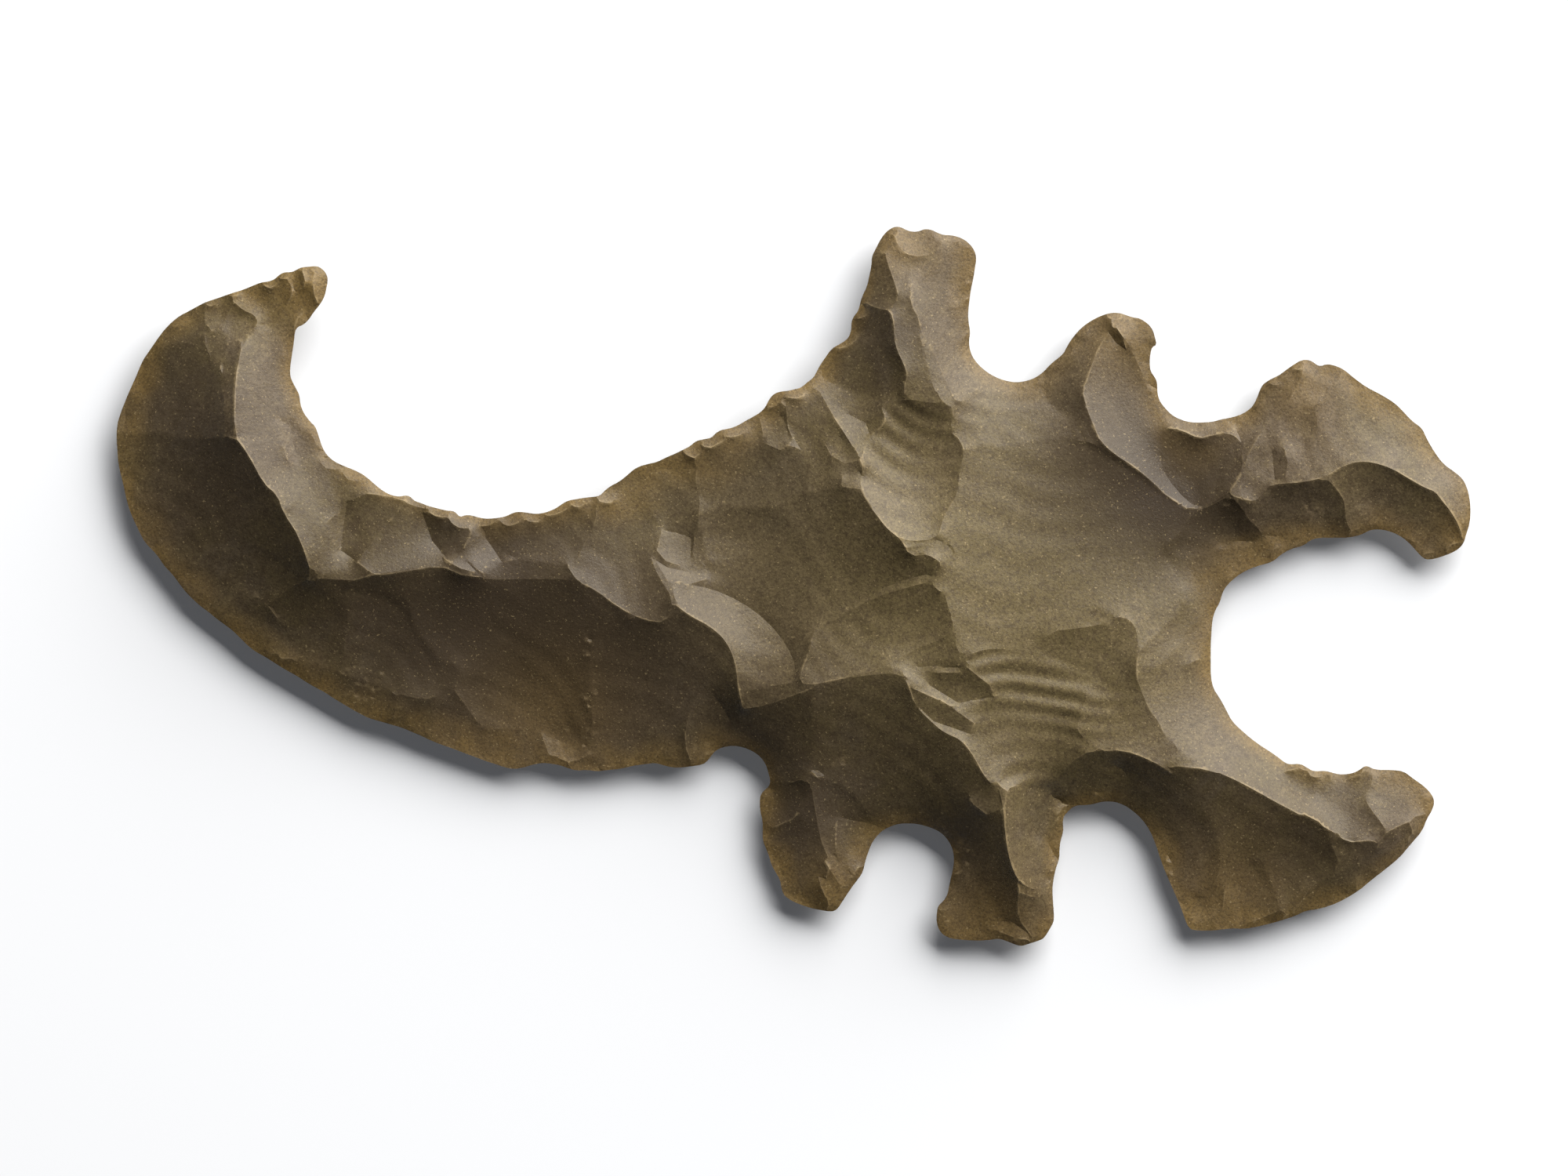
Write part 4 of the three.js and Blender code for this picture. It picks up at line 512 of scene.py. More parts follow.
     "1643,975 1655,972 1675,982 1697,984 1699,992 1690,1005 1677,1013 1660,1012 1645,1006 1640,992"),
    ("under arc", 230, 0.56, 0.14,
     "1653,1033 1690,1052 1700,1082 1710,1106 1670,1130 1634,1160 1620,1120 1608,1086 1614,1066"),
    ("under triangle", 200, 0.5, 0.06,
     "1609,1090 1620,1120 1633,1160 1612,1170 1590,1178 1583,1133"),
    ("amber rim scar", 255, 0.5, 0.08,
     "1717,1106 1740,1092 1760,1080 1790,1086 1757,1120 1713,1147 1663,1160 1667,1140"),
    ("small arcs", 210, 0.46, 0.2,
     "1513,1128 1533,1142 1563,1132 1560,1160 1530,1180 1512,1186"),
    ("dark lens", 236, 0.16, 0.14,
     "1189,854 1212,846 1232,850 1262,874 1266,888 1222,896 1183,872"),
    ("dark lens low", 236, 0.12, 0.12,
     "1161,876 1205,896 1242,922 1236,935 1190,919 1167,897"),
    ("strand a", 85, 0.3, 0,
     "1140,847 1170,850 1224,851 1224,857 1170,857 1146,853"),
    ("comb", 60, 0.1, 0.04,
     "1384,778 1400,774 1421,784 1418,797 1388,796"),
    ("right facet", 35, 0.34, 0.1,
     "1455,829 1486,800 1511,776 1517,747 1542,729 1546,760 1530,790 1500,822 1480,850 1460,852"),
    ("right facet low", 45, 0.5, 0.1,
     "1502,822 1527,797 1542,770 1545,800 1530,840 1510,850"),
]

# Ripples that a blow left in a scar: struck from x, y, their pitch in points and their steepness.
RIPPLES = {
    "rippled": (1205, 430, 26, 0.36), "central": (1350, 200, 44, 0.035), "streaky": (1300, 380, 20, 0.08),
    "banded": (1420, 650, 18, 0.2), "arcs": (1318, 1060, 26, 0.26), "ripple bands": (1200, 780, 18, 0.26)}
PLAIN_PITCH_MM, PLAIN_WAVE, STRUCK_OUTSIDE = 4.2, 0.04, 1.3

# How steep the fine lines are that run down a scar, away from the blow.
HACKLES = {
    "base": 0, "base upper": 0, "base lower": 0, "streaky": 0.1, "fibres": 0.16, "rays": 0.14,
    "thin line": 0, "notch rim 1": 0.05, "low C": 0.02, "dark block": 0.05, "comb": 0.3,
    "hackled column": 0.1, "ledge shelf": 0.04, "jaw block": 0.15}
PLAIN_HACKLES, HACKLE_MM = 0.045, 1.1

# Trimming chips along each stretch: how far apart they are, how far they reach in and how steep they are.
TRIMMING = {
    "tail inner": (4.2, 2.0, 0.34), "first prong": (2.2, 1.2, 0.4), "notch between prongs": (1.7, 1.1, 0.4),
    "second prong": (2.1, 1.2, 0.4), "notch before jaw": (1.8, 1.2, 0.4), "upper jaw": (2.4, 1.3, 0.35),
    "lower jaw": (2.4, 1.4, 0.4), "notch behind jaw": (1.5, 1.2, 0.4), "second leg": (2.1, 1.5, 0.4),
    "notch between legs": (1.7, 1.2, 0.4), "first leg": (2.0, 1.4, 0.4), "small notch": (1.6, 1.2, 0.4),
    "tail underside": (2.1, 1.7, 0.45), "tail back": (3.4, 1.2, 0.25)}
CHIPS_LEFT_OUT = 0.25

# Crushed places: x and y of two corners, and the number of crumbs between them.
CRUSHED = [
    (1135, 1038, 1205, 1058, 26), (1218, 1070, 1236, 1122, 14), (1395, 1010, 1408, 1022, 6),
    (1060, 962, 1078, 978, 7), (1665, 640, 1695, 668, 10), (1563, 632, 1587, 648, 12),
    (440, 848, 492, 892, 26), (738, 800, 762, 905, 9), (700, 930, 762, 962, 14), (882, 945, 914, 970, 12),
    (352, 528, 378, 576, 16), (412, 580, 438, 640, 14), (1384, 778, 1412, 800, 10),
    (1068, 1046, 1112, 1108, 18)]


def spots(text):
    """The points of an outline."""
    return np.array([pair.split(",") for pair in text.split()], float)


def rounded(points):
    """The closed outline with its corners cut, so that it runs in soft curves."""
    following = np.roll(points, -1, 0)
    return np.stack([0.75 * points + 0.25 * following, 0.25 * points + 0.75 * following], 1).reshape(-1, 2)


def spaced(points, step, closed=True):
    """Points at even steps along the outline."""
    line = np.vstack([points, points[:1]]) if closed else points
    along = np.r_[0, np.cumsum(np.hypot(*np.diff(line, axis=0).T))]
    places = np.linspace(0, along[-1], max(int(round(along[-1] / step)), 2), endpoint=not closed)
    return np.c_[np.interp(places, along, line[:, 0]), np.interp(places, along, line[:, 1])]


def inside(x, y, outline):
    """Which of the places lie inside the outline."""
    hit = np.zeros(x.shape, bool)
    x0, y0 = outline[-1]
    for x1, y1 in outline:
        if y0 != y1:
            hit ^= ((y0 > y) != (y1 > y)) & (x < (x1 - x0) * (y - y0) / (y1 - y0) + x0)
        x0, y0 = x1, y1
    return hit


# The blade's box in the frame gives the size of a point.
low, high = (np.array(corner) * 1000 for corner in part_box("knapped_flint"))
edge_points = rounded(np.vstack([spots(stretch) for stretch in OUTLINE.values()]))
first, last = edge_points.min(0), edge_points.max(0)
point_mm = (high[0] - low[0]) / (last[0] - first[0])


def to_mm(points):
    """Places in millimetres of the frame, from points."""
    share = (np.asarray(points, float) - first) / (last - first)
    return np.array([low[0], high[1]]) + share * (high - low)[:2] * [1, -1]


edge = spaced(to_mm(edge_points), EDGE_STEP_MM)
chance = np.random.default_rng(5)
scars = []


def add_scar(outline, facing, steepness, hollow, ripples=None, hackles=0.0):
    """One more scar: its outline in millimetres, the way it slopes down, its ripples and its fine lines."""
    centre = outline.mean(0)
    radius = np.sqrt(((outline - centre) ** 2).sum(1)).mean()
    downhill = np.array([math.cos(math.radians(facing)), math.sin(math.radians(facing))])
    struck, pitch, wave = centre + downhill * radius * STRUCK_OUTSIDE, PLAIN_PITCH_MM, PLAIN_WAVE
    if ripples:
        struck, pitch, wave = to_mm(ripples[:2]), ripples[2] * point_mm, ripples[3]
    scars.append({
        "outline": outline, "centre": centre, "radius": radius, "slope": -steepness * downhill,
        "hollow": hollow, "struck": struck, "pitch": pitch, "wave": wave, "hackles": hackles})


for name, facing, steepness, hollow, outline in SCARS:
    points = spots(outline)
    if len(points) > 8:
        points = rounded(points)
    add_scar(to_mm(points), facing, steepness, hollow, RIPPLES.get(name), HACKLES.get(name, PLAIN_HACKLES))

# Small chips that were pressed off along the edge to straighten and blunt it.
for name, (pitch, reach, steepness) in TRIMMING.items():
    line = spaced(to_mm(spots(OUTLINE[name])), pitch, closed=False)
    for (x, y), (go_x, go_y) in zip(line, np.gradient(line, axis=0)):
        if chance.random() < CHIPS_LEFT_OUT:
            continue
        outward = math.atan2(go_x, -go_y) + chance.uniform(-0.3, 0.3)
        half, deep = pitch * chance.uniform(0.4, 0.8), reach * chance.uniform(0.4, 1.2)
        turns = np.linspace(0, 2 * math.pi, 12, endpoint=False)
        side, inward = half * np.cos(turns), deep * np.sin(turns) * chance.uniform(0.9, 1.1, 12)
        chip = np.c_[x - side * math.sin(outward) - inward * math.cos(outward),
                     y + side * math.cos(outward) - inward * math.sin(outward)]
        add_scar(chip, math.degrees(outward), steepness * chance.uniform(0.5, 1.2), 0.08)

# Crushed places, where the edge or a step broke into crumbs.
first_crumb = len(scars)
for x0, y0, x1, y1, number in CRUSHED:
    for _ in range(number):
        x, y = to_mm([chance.uniform(x0, x1), chance.uniform(y0, y1)])
        turns = np.linspace(0, 2 * math.pi, 7, endpoint=False)
        size = chance.uniform(0.15, 0.45)
        crumb = np.c_[x + size * np.cos(turns) * chance.uniform(0.6, 1.2, 7),
                      y + size * np.sin(turns) * chance.uniform(0.4, 1.0, 7)]
        add_scar(crumb, chance.uniform(0, 360), chance.uniform(0.1, 0.35), 0)


def raised(x, y):
    """How much higher the edge runs at the places, and the slopes of this rise."""
    rise, rise_x, rise_y = np.zeros(x.shape), np.zeros(x.shape), np.zeros(x.shape)
    for at_x, at_y, spread, height in RAISED:
        centre = to_mm([at_x, at_y])
        bump = height * np.exp(-((x - centre[0]) ** 2 + (y - centre[1]) ** 2) / (2 * spread * spread))
        rise += bump
        rise_x -= bump * (x - centre[0]) / spread ** 2
        rise_y -= bump * (y - centre[1]) / spread ** 2
    return rise, rise_x, rise_y


def painted(x, y):
    """The slopes that the scars ask for at the places, each over the older ones, and which scar it is."""
    slope_x, slope_y, owner = np.zeros(x.shape), np.zeros(x.shape), np.full(x.shape, -1)
    for index, scar in enumerate(scars):
        (x0, y0), (x1, y1) = scar["outline"].min(0), scar["outline"].max(0)
        near = np.nonzero((x > x0) & (x < x1) & (y > y0) & (y < y1))[0]
        near = near[inside(x[near], y[near], scar["outline"])]
        if not len(near):
            continue
        at_x, at_y = x[near], y[near]
        # A plain slope, and a bowl about the scar's centre.
        gx = scar["slope"][0] + scar["hollow"] * (at_x - scar["centre"][0]) / scar["radius"]
        gy = scar["slope"][1] + scar["hollow"] * (at_y - scar["centre"][1]) / scar["radius"]
        # Ripples run round the place of the blow, uneven and a little wandering.
        away_x, away_y = at_x - scar["struck"][0], at_y - scar["struck"][1]
        away = np.hypot(away_x, away_y) + 1e-6
        away_x, away_y = away_x / away, away_y / away
        wander = 1.4 * np.sin(at_x / 9 + at_y / 5 + index) + 1.1 * np.sin(at_x / 4 - at_y / 11 + 1)
        uneven = 0.55 + 0.45 * np.sin(away / 5.3 + at_x / 8 + 2 * at_y / 17 + index)
        swing = scar["wave"] * uneven * np.sin(2 * math.pi * away / scar["pitch"] + wander)
        # Fine lines run away from the blow, across the ripples, and fade in and out.
        across = np.arctan2(away_y, away_x) * max(float(away.mean()), 1.0)
        fading = 0.5 + 0.5 * np.sin(away / 3.1 + across / 2.3 + index)
        waves = np.sin(2 * math.pi * across / HACKLE_MM + 2.2 * np.sin(across / 2.9))
        comb = scar["hackles"] * fading * waves
        slope_x[near] = gx + swing * away_x - comb * away_y
        slope_y[near] = gy + swing * away_y + comb * away_x
        owner[near] = index
    # The whole face is a low dome, and the rise of the edge is taken off, because it is added later.
    centre = to_mm([DOME_X, DOME_Y])
    u, v = (x - centre[0]) / DOME_LONG_MM, (y - centre[1]) / DOME_WIDE_MM
    fall = -4 * DOME_MM * np.clip(1 - u * u - v * v, 0, 1)
    rise_x, rise_y = raised(x, y)[1:]
    return slope_x + fall * u / DOME_LONG_MM - rise_x, slope_y + fall * v / DOME_WIDE_MM - rise_y, owner


def neighbours(grid):
    """The sum of the four neighbours of each place of the grid."""
    wide = np.pad(grid, 1)
    return wide[:-2, 1:-1] + wide[2:, 1:-1] + wide[1:-1, :-2] + wide[1:-1, 2:]


def blown_up(heights, rows, columns):
    """Heights of a grid of half as many points, filled in between."""
    full = np.zeros((rows, columns))
    full[::2, ::2] = heights
    full[1::2, ::2] = (full[:-1:2, ::2] + full[2::2, ::2]) / 2
    full[:, 1::2] = (full[:, :-1:2] + full[:, 2::2]) / 2
    return full


def settled(bend, stone):
    """Heights whose steps between neighbours fit the slopes asked for, and nought outside the stone.

    A grid of half as many points is settled first, so that the full one needs few rounds.
    """
    rows, columns = stone.shape
    least = min(rows, columns)
    heights = np.zeros((rows, columns))
    if least > 24 and rows % 2 and columns % 2:
        wide = np.pad(bend, 1)
        corners = wide[:-2, :-2] + wide[2:, 2:] + wide[:-2, 2:] + wide[2:, :-2]
        coarse = (4 * bend + 2 * neighbours(bend) + corners) / 4
        heights = blown_up(settled(coarse[::2, ::2], stone[::2, ::2]), rows, columns) * stone
    y, x = np.mgrid[:rows, :columns]
    pull = 1.6 if least > 60 else 1.8
    for _ in range(400 if least <= 100 else 150):
        for turn in (0, 1):
            fitted = heights + pull * ((neighbours(heights) - bend) / 4 - heights)
            heights = np.where(stone & ((x + y) % 2 == turn), fitted, heights)
    return heights


# A first shape of the front on a plain grid, which can be halved again and again: the slopes of the scars are
# summed to heights.
columns, rows = (
    int(math.ceil((size + 2 * GRID_MARGIN_MM) / GRID_MM / GRID_BLOCK)) * GRID_BLOCK + 1
    for size in (high - low)[:2])
grid_x = low[0] - GRID_MARGIN_MM + np.arange(columns) * GRID_MM
grid_y = high[1] + GRID_MARGIN_MM - np.arange(rows) * GRID_MM
X, Y = np.meshgrid(grid_x, grid_y)
stone = inside(X, Y, edge)
slope_x, slope_y = (slope.reshape(X.shape) for slope in painted(X.ravel(), Y.ravel())[:2])
step_x = (slope_x[:, 1:] + slope_x[:, :-1]) / 2 * GRID_MM
step_y = -(slope_y[1:] + slope_y[:-1]) / 2 * GRID_MM
bend = np.zeros(X.shape)
bend[:, :-1] += step_x
bend[:, 1:] -= step_x
bend[:-1] += step_y
bend[1:] -= step_y
front = settled(bend, stone | (neighbours(stone.astype(int)) > 0))


def lifted(x, y):
    """Height of the first shape at the places."""
    u, v = (x - grid_x[0]) / GRID_MM, (grid_y[0] - y) / GRID_MM
    i = np.clip(u.astype(int), 0, columns - 2)
    j = np.clip(v.astype(int), 0, rows - 2)
    u, v = u - i, v - j
    upper = front[j, i] * (1 - u) + front[j, i + 1] * u
    lower = front[j + 1, i] * (1 - u) + front[j + 1, i + 1] * u
    return upper * (1 - v) + lower * v


def tree_of(places):
    """A search tree of places."""
    tree = kdtree.KDTree(len(places))
    for index, (x, y) in enumerate(places):
        tree.insert((x, y, 0), index)
    tree.balance()
    return tree


def how_far(places, tree):
    """Distance of each place from the nearest one in the tree."""
    return np.array([tree.find((x, y, 0))[2] for x, y in places])


def thinned(places, gap, keep_off=()):
    """The places without those closer than the gap to an earlier one or to the places to keep off."""
    cells, kept, first_new = {}, [], len(keep_off)
    for number, (x, y) in enumerate(list(keep_off) + list(places)):
        i, j = int(math.floor(x / gap)), int(math.floor(y / gap))
        near = [spot for di in (-1, 0, 1) for dj in (-1, 0, 1) for spot in cells.get((i + di, j + dj), ())]
        if number < first_new or all((x - a) ** 2 + (y - b) ** 2 > gap * gap for a, b in near):
            cells.setdefault((i, j), []).append((x, y))
            if number >= first_new:
                kept.append((x, y))
    return np.array(kept)


def meshed(inner):
    """Triangles between the edge and the inner points."""
    places = np.vstack([edge, inner])
    rim = [list(range(len(edge)))[::-1]]
    result = delaunay_2d_cdt([tuple(place) for place in places], [], rim, 1, 1e-6, False)
    triangles = np.array(result[2])
    at_edge = (triangles < len(edge)).all(1)
    outside = np.zeros(len(triangles), bool)
    outside[at_edge] = ~inside(*places[triangles[at_edge]].mean(1).T, edge)
    return triangles[~outside]


# Points of the front: close together along every ridge between scars, so that the ridges stay sharp, and an
# even net of points between them.
edge_tree = tree_of(edge)
lines = [spaced(scar["outline"], RIDGE_MM if index < first_crumb else CRUMB_MM)
         for index, scar in enumerate(scars)]
drawn_by = np.repeat(np.arange(len(scars)), [len(line) for line in lines])
ridge_places = np.vstack(lines)
shown = inside(*ridge_places.T, edge) & (painted(*ridge_places.T)[2] <= drawn_by)
ridge_places = ridge_places[shown]
ridge_places = thinned(ridge_places[how_far(ridge_places, edge_tree) > 0.5 * RIDGE_MM], 0.55 * RIDGE_MM)
net_x, net_y = np.meshgrid(np.arange(low[0], high[0], NET_MM), np.arange(low[1], high[1], NET_MM * 0.866))
net_x = net_x + np.arange(len(net_x))[:, None] % 2 * NET_MM / 2
hit = inside(net_x, net_y, edge)
net_places = np.c_[net_x[hit], net_y[hit]]
net_places = net_places[how_far(net_places, edge_tree) > 0.6 * NET_MM]
net_places = net_places[how_far(net_places, tree_of(ridge_places)) > 0.62 * NET_MM]
front_places = np.vstack([ridge_places, net_places])
front_faces = meshed(front_places)
front_spots = np.vstack([edge, front_places])

# The heights of these points are fitted, so that each triangle slopes as its scar asks.
a, b, c = (front_spots[front_faces[:, corner]] for corner in range(3))
double = (b[:, 0] - a[:, 0]) * (c[:, 1] - a[:, 1]) - (b[:, 1] - a[:, 1]) * (c[:, 0] - a[:, 0])
front_faces[double < 0] = front_faces[double < 0][:, ::-1]
a, b, c = (front_spots[front_faces[:, corner]] for corner in range(3))
double = np.maximum(np.abs(double), 1e-6)
lean = [np.c_[q[:, 1] - r[:, 1], r[:, 0] - q[:, 0]] / double[:, None] for q, r in ((b, c), (c, a), (a, b))]
*wanted, owner = painted(*((a + b + c) / 3).T)


def slopes_of(heights):
    """Slope of each triangle of the front."""
    return sum(heights[front_faces[:, corner], None] * lean[corner] for corner in range(3))


def pull_of(slopes):
    """How far the slopes of the triangles round each point pull it."""
    pull = np.zeros(len(front_spots))
    for corner in range(3):
        weights = (slopes * lean[corner]).sum(1) * double / 2
        pull += np.bincount(front_faces[:, corner], weights, len(front_spots))
    pull[:len(edge)] = 0
    return pull


heights = lifted(*front_spots.T)
rest = pull_of(np.stack(wanted, 1) - slopes_of(heights))
step = rest.copy()
for _ in range(FITTING_ROUNDS):
    answer = pull_of(slopes_of(step))
    share = rest @ rest / (step @ answer)
    heights += share * step
    left = rest - share * answer
    step = left + (left @ left) / (rest @ rest) * step
    rest = left

# No scar is perfectly even: low swells lie over them, each with its width and height in millimetres and its
# own layer of noise.
SWELLS = [(7, 0.055, 0.3), (2.6, 0.022, 7.7)]
heights[len(edge):] += [
    sum(rise * noise.noise((x / width, y / width, layer)) for width, rise, layer in SWELLS)
    for x, y in front_places]
heights += raised(*front_spots.T)[0]
scale_up = (high[2] - EDGE_LEVEL_MM - TOP_ROOM_MM) / heights.max()
front_z = EDGE_LEVEL_MM + heights * scale_up

# How sharply the front falls away on all sides of a point, which is where a crest is painted pale: partly
# wear, partly a painted highlight along the ridge.
sides = np.vstack([front_faces[:, [0, 1]], front_faces[:, [1, 2]], front_faces[:, [2, 0]]])
lengths = np.hypot(*(front_spots[sides[:, 0]] - front_spots[sides[:, 1]]).T) + 1e-6
drops = (front_z[sides[:, 0]] - front_z[sides[:, 1]]) / lengths
falls = np.bincount(sides[:, 0], drops, len(front_spots)) - np.bincount(sides[:, 1], drops, len(front_spots))
crest = falls / np.bincount(sides.ravel(), minlength=len(front_spots))
crushed = np.zeros(len(front_spots))
crushed[front_faces[owner >= first_crumb].ravel()] = 1

# The back: a ring of scars struck from the edge, some long thinning scars, and flat remains of the blank
# between them, which the stone lies on. Thinning scars are in shares of the box: from, to and their width.
RING_MM, RING_WIDTH_MM, RING_REACH_MM = 13.5, 16, 27
RING_REACHES = [1, 0.82, 0.94, 0.7, 0.88, 0.76, 0.97]
RING_TURNS = [-0.12, 0.08, 0.2, -0.05, 0.14, -0.2, 0.03, 0.1]
THINNING = [
    (0.44, 0.7, 0.48, 0.47, 0.17), (0.665, 0.785, 0.655, 0.57, 0.16), (0.808, 0.73, 0.755, 0.56, 0.16),
    (0.808, 0.4, 0.665, 0.425, 0.22), (0.59, 0.17, 0.575, 0.37, 0.18), (0.455, 0.28, 0.5, 0.42, 0.13),
    (0.722, 0.2, 0.705, 0.365, 0.13), (0.345, 0.615, 0.335, 0.43, 0.15), (0.29, 0.25, 0.3, 0.42, 0.15),
    (0.002, 0.7, 0.095, 0.68, 0.17), (0.215, 0.3, 0.24, 0.44, 0.13)]
THINNING_RUN_OUT, BACK_RIPPLE_MM, BACK_PITCH_MM = 1.25, 0.05, 4.3
BEVEL, SCAR_FALL, SCAR_BOWL, SCAR_LIP, LIP_MM, BULB_MM = 0.75, 1.35, 0.13, 0.35, 4, 2
stations = spaced(edge, RING_MM)
ahead = np.roll(stations, -1, 0) - np.roll(stations, 1, 0)
inward = np.stack([ahead[:, 1], -ahead[:, 0]], -1) / np.hypot(*ahead.T)[:, None]
back_scars = []
for index, (point, (in_x, in_y)) in enumerate(zip(stations, inward)):
    turn = RING_TURNS[index % len(RING_TURNS)]
    heading = np.array([in_x * math.cos(turn) - in_y * math.sin(turn),
                        in_x * math.sin(turn) + in_y * math.cos(turn)])
    reach = RING_REACH_MM * RING_REACHES[index % len(RING_REACHES)]
    back_scars.append((point, heading, reach, RING_WIDTH_MM / 2))
for x, y, to_x, to_y, width in THINNING:
    begin = low[:2] + np.array([x, y]) * (high - low)[:2]
    end = low[:2] + np.array([to_x, to_y]) * (high - low)[:2]
    reach = np.hypot(*(end - begin))
    back_scars.append((begin, (end - begin) / reach, reach * THINNING_RUN_OUT, width * (high - low)[1] / 2))


def sunk(x, y, away):
    """Heights of the flat, of the bevel along the edge and of each back scar, so far away from the edge."""
    level = EDGE_LEVEL_MM + raised(x, y)[0] * scale_up
    heights = [np.zeros(x.shape), level - BEVEL * away]
    for index, (begin, heading, reach, half) in enumerate(back_scars):
        along = (x - begin[0]) * heading[0] + (y - begin[1]) * heading[1]
        across = (x - begin[0]) * heading[1] - (y - begin[1]) * heading[0]
        share = np.clip(along / reach, 0, 1)
        ripple = BACK_RIPPLE_MM * np.sin(2 * math.pi * along / BACK_PITCH_MM + 0.4 * across + index)
        ripple = ripple * np.clip(share * (1 - share) * 5, 0, 1)
        bowl = SCAR_BOWL * half * (across / half) ** 2
        floor = level * (1 - share) ** SCAR_FALL - bowl - SCAR_LIP * away / (away + LIP_MM)
        heights.append(np.where((along > -BULB_MM) & (along < reach), floor + ripple, -1))
    return np.array(heights)


back_x, back_y = np.meshgrid(np.arange(low[0], high[0], BACK_MM), np.arange(low[1], high[1], BACK_MM))
hit = inside(back_x, back_y, edge)
back_away = np.zeros(back_x.shape)
back_away[hit] = how_far(np.c_[back_x[hit], back_y[hit]], edge_tree)
layers = sunk(back_x, back_y, back_away)
deepest = layers.argmax(0)
back_ridges = []
for shift_y, shift_x in ((0, 1), (1, 0)):
    here = (slice(0, len(back_x) - shift_y), slice(0, back_x.shape[1] - shift_x))
    there = (slice(shift_y, None), slice(shift_x, None))
    j, i = np.nonzero((deepest[here] != deepest[there]) & hit[here] & hit[there])
    one, other = deepest[j, i], deepest[j + shift_y, i + shift_x]
    lead = layers[one, j, i] - layers[other, j, i]
    lag = layers[other, j + shift_y, i + shift_x] - layers[one, j + shift_y, i + shift_x]
    share = lead / np.maximum(lead + lag, 1e-6) * BACK_MM
    back_ridges.append(np.c_[back_x[j, i] + share * shift_x, back_y[j, i] + share * shift_y])
back_ridges = np.vstack(back_ridges)
back_ridges = thinned(back_ridges[how_far(back_ridges, edge_tree) > 0.6 * BACK_MM], 0.45 * BACK_MM)
back_net = np.c_[back_x[hit], back_y[hit]][back_away[hit] > 0.6 * BACK_MM]
back_places = np.vstack([back_ridges, thinned(back_net, 0.6 * BACK_MM, back_ridges)])
back_faces = meshed(back_places)


def under(places, over):
    """Height of the back at the places, kept below the front, which is over it."""
    away = how_far(places, edge_tree)
    heights = sunk(*places.T, away).max(0)
    return np.clip(np.minimum(heights, over - EDGE_BAND_MM - 0.25 * np.minimum(away, 4)), 0, None)


# Both faces and the narrow band between their edges make one closed mesh.
count, inner = len(edge), len(front_places)
over_back = EDGE_LEVEL_MM + (lifted(*back_places.T) + raised(*back_places.T)[0]) * scale_up
back_z = under(back_places, over_back)
corners = np.vstack([np.c_[front_spots, front_z], np.c_[edge, front_z[:count] - EDGE_BAND_MM],
                     np.c_[back_places, back_z]]) / 1000
ring = np.arange(count)
after = (ring + 1) % count
band = np.c_[ring, after, after + count + inner, ring + count + inner]
faces = front_faces.tolist() + (back_faces + count + inner)[:, ::-1].tolist() + band.tolist()
mesh = bpy.data.meshes.new("knapped_stone")
mesh.from_pydata(corners.tolist(), [], faces)
mesh.update()
stone_piece = bpy.data.objects.new("knapped_stone", mesh)
bpy.context.collection.objects.link(stone_piece)

# What the chert shows where: each corner of the mesh is marked with how thick the stone is, how sharp its
# crest is, whether it is crushed, and how much it lies in a cloud or a honey-coloured tip. The dark patches
# are painted shade, laid mostly on the sides that face away from the lamp, and partly darker stone. Clouds,
# patches and tips are given by x and y in points, their width in millimetres and their strength.
CLOUDS = {
    # Painted shade: dark patches, mostly on the sides that face away from the lamp, partly darker stone.
    "dark_stone_and_shade": [
        (215, 470, 9, 0.5), (260, 640, 12, 0.45), (480, 800, 16, 0.45), (640, 830, 18, 0.5),
        (820, 880, 13, 0.4), (1120, 430, 8, 0.5), (1010, 1060, 10, 0.35), (1130, 960, 14, 0.2),
        (1650, 1100, 13, 0.5), (1500, 1050, 9, 0.2), (1240, 1120, 10, 0.3), (960, 580, 11, 0.25),
        (900, 700, 10, 0.1), (1430, 605, 13, 0.7), (1510, 645, 8, 0.5), (700, 750, 16, 0.25),
        (1000, 1000, 12, 0.3)],
    "olive_cloud": [
        (1290, 720, 20, 0.8), (1180, 800, 14, 0.6), (980, 640, 16, 0.4), (1350, 860, 14, 0.5),
        (900, 760, 12, 0.3)],
    "honey": [
        (392, 362, 6, 0.8), (1866, 690, 4, 0.7), (1858, 1020, 5, 0.5), (1062, 1140, 5, 0.6),
        (1260, 1180, 6, 0.6), (1560, 1160, 8, 0.5), (1145, 300, 5, 0.5), (1430, 420, 5, 0.5),
        (1660, 490, 5, 0.45), (700, 915, 9, 0.35)]}
rim_thick = np.full(count, EDGE_BAND_MM)
front_thick = front_z[count:] - under(front_places, front_z[count:])
back_blank = np.zeros(len(corners) - len(front_spots))
marks = {
    "thickness_mm": np.r_[rim_thick, front_thick, rim_thick, over_back - back_z],
    "crest": np.r_[crest, back_blank], "crushed": np.r_[crushed, back_blank]}
for name, clouds in CLOUDS.items():
    marks[name] = sum(
        strength * np.exp(-((corners[:, :2] * 1000 - to_mm([x, y])) ** 2).sum(1) / (2 * spread * spread))
        for x, y, spread, strength in clouds)
for name, values in marks.items():
    mesh.attributes.new(name, "FLOAT", "POINT").data.foreach_set("value", values)
bpy.ops.object.select_all(action="DESELECT")
stone_piece.select_set(True)
bpy.context.view_layer.objects.active = stone_piece
bpy.ops.object.mode_set(mode="EDIT")
bpy.ops.mesh.select_all(action="SELECT")
bpy.ops.mesh.normals_make_consistent(inside=False)
bpy.ops.object.mode_set(mode="OBJECT")
bpy.ops.object.shade_smooth_by_angle(angle=math.radians(SHARP_ANGLE))


def linear(colour):
    """A colour in linear light, from its sRGB hex value."""
    parts = [int(colour[i:i + 2], 16) / 255 for i in (1, 3, 5)]
    return (*(part / 12.92 if part <= 0.04045 else ((part + 0.055) / 1.055) ** 2.4 for part in parts), 1)


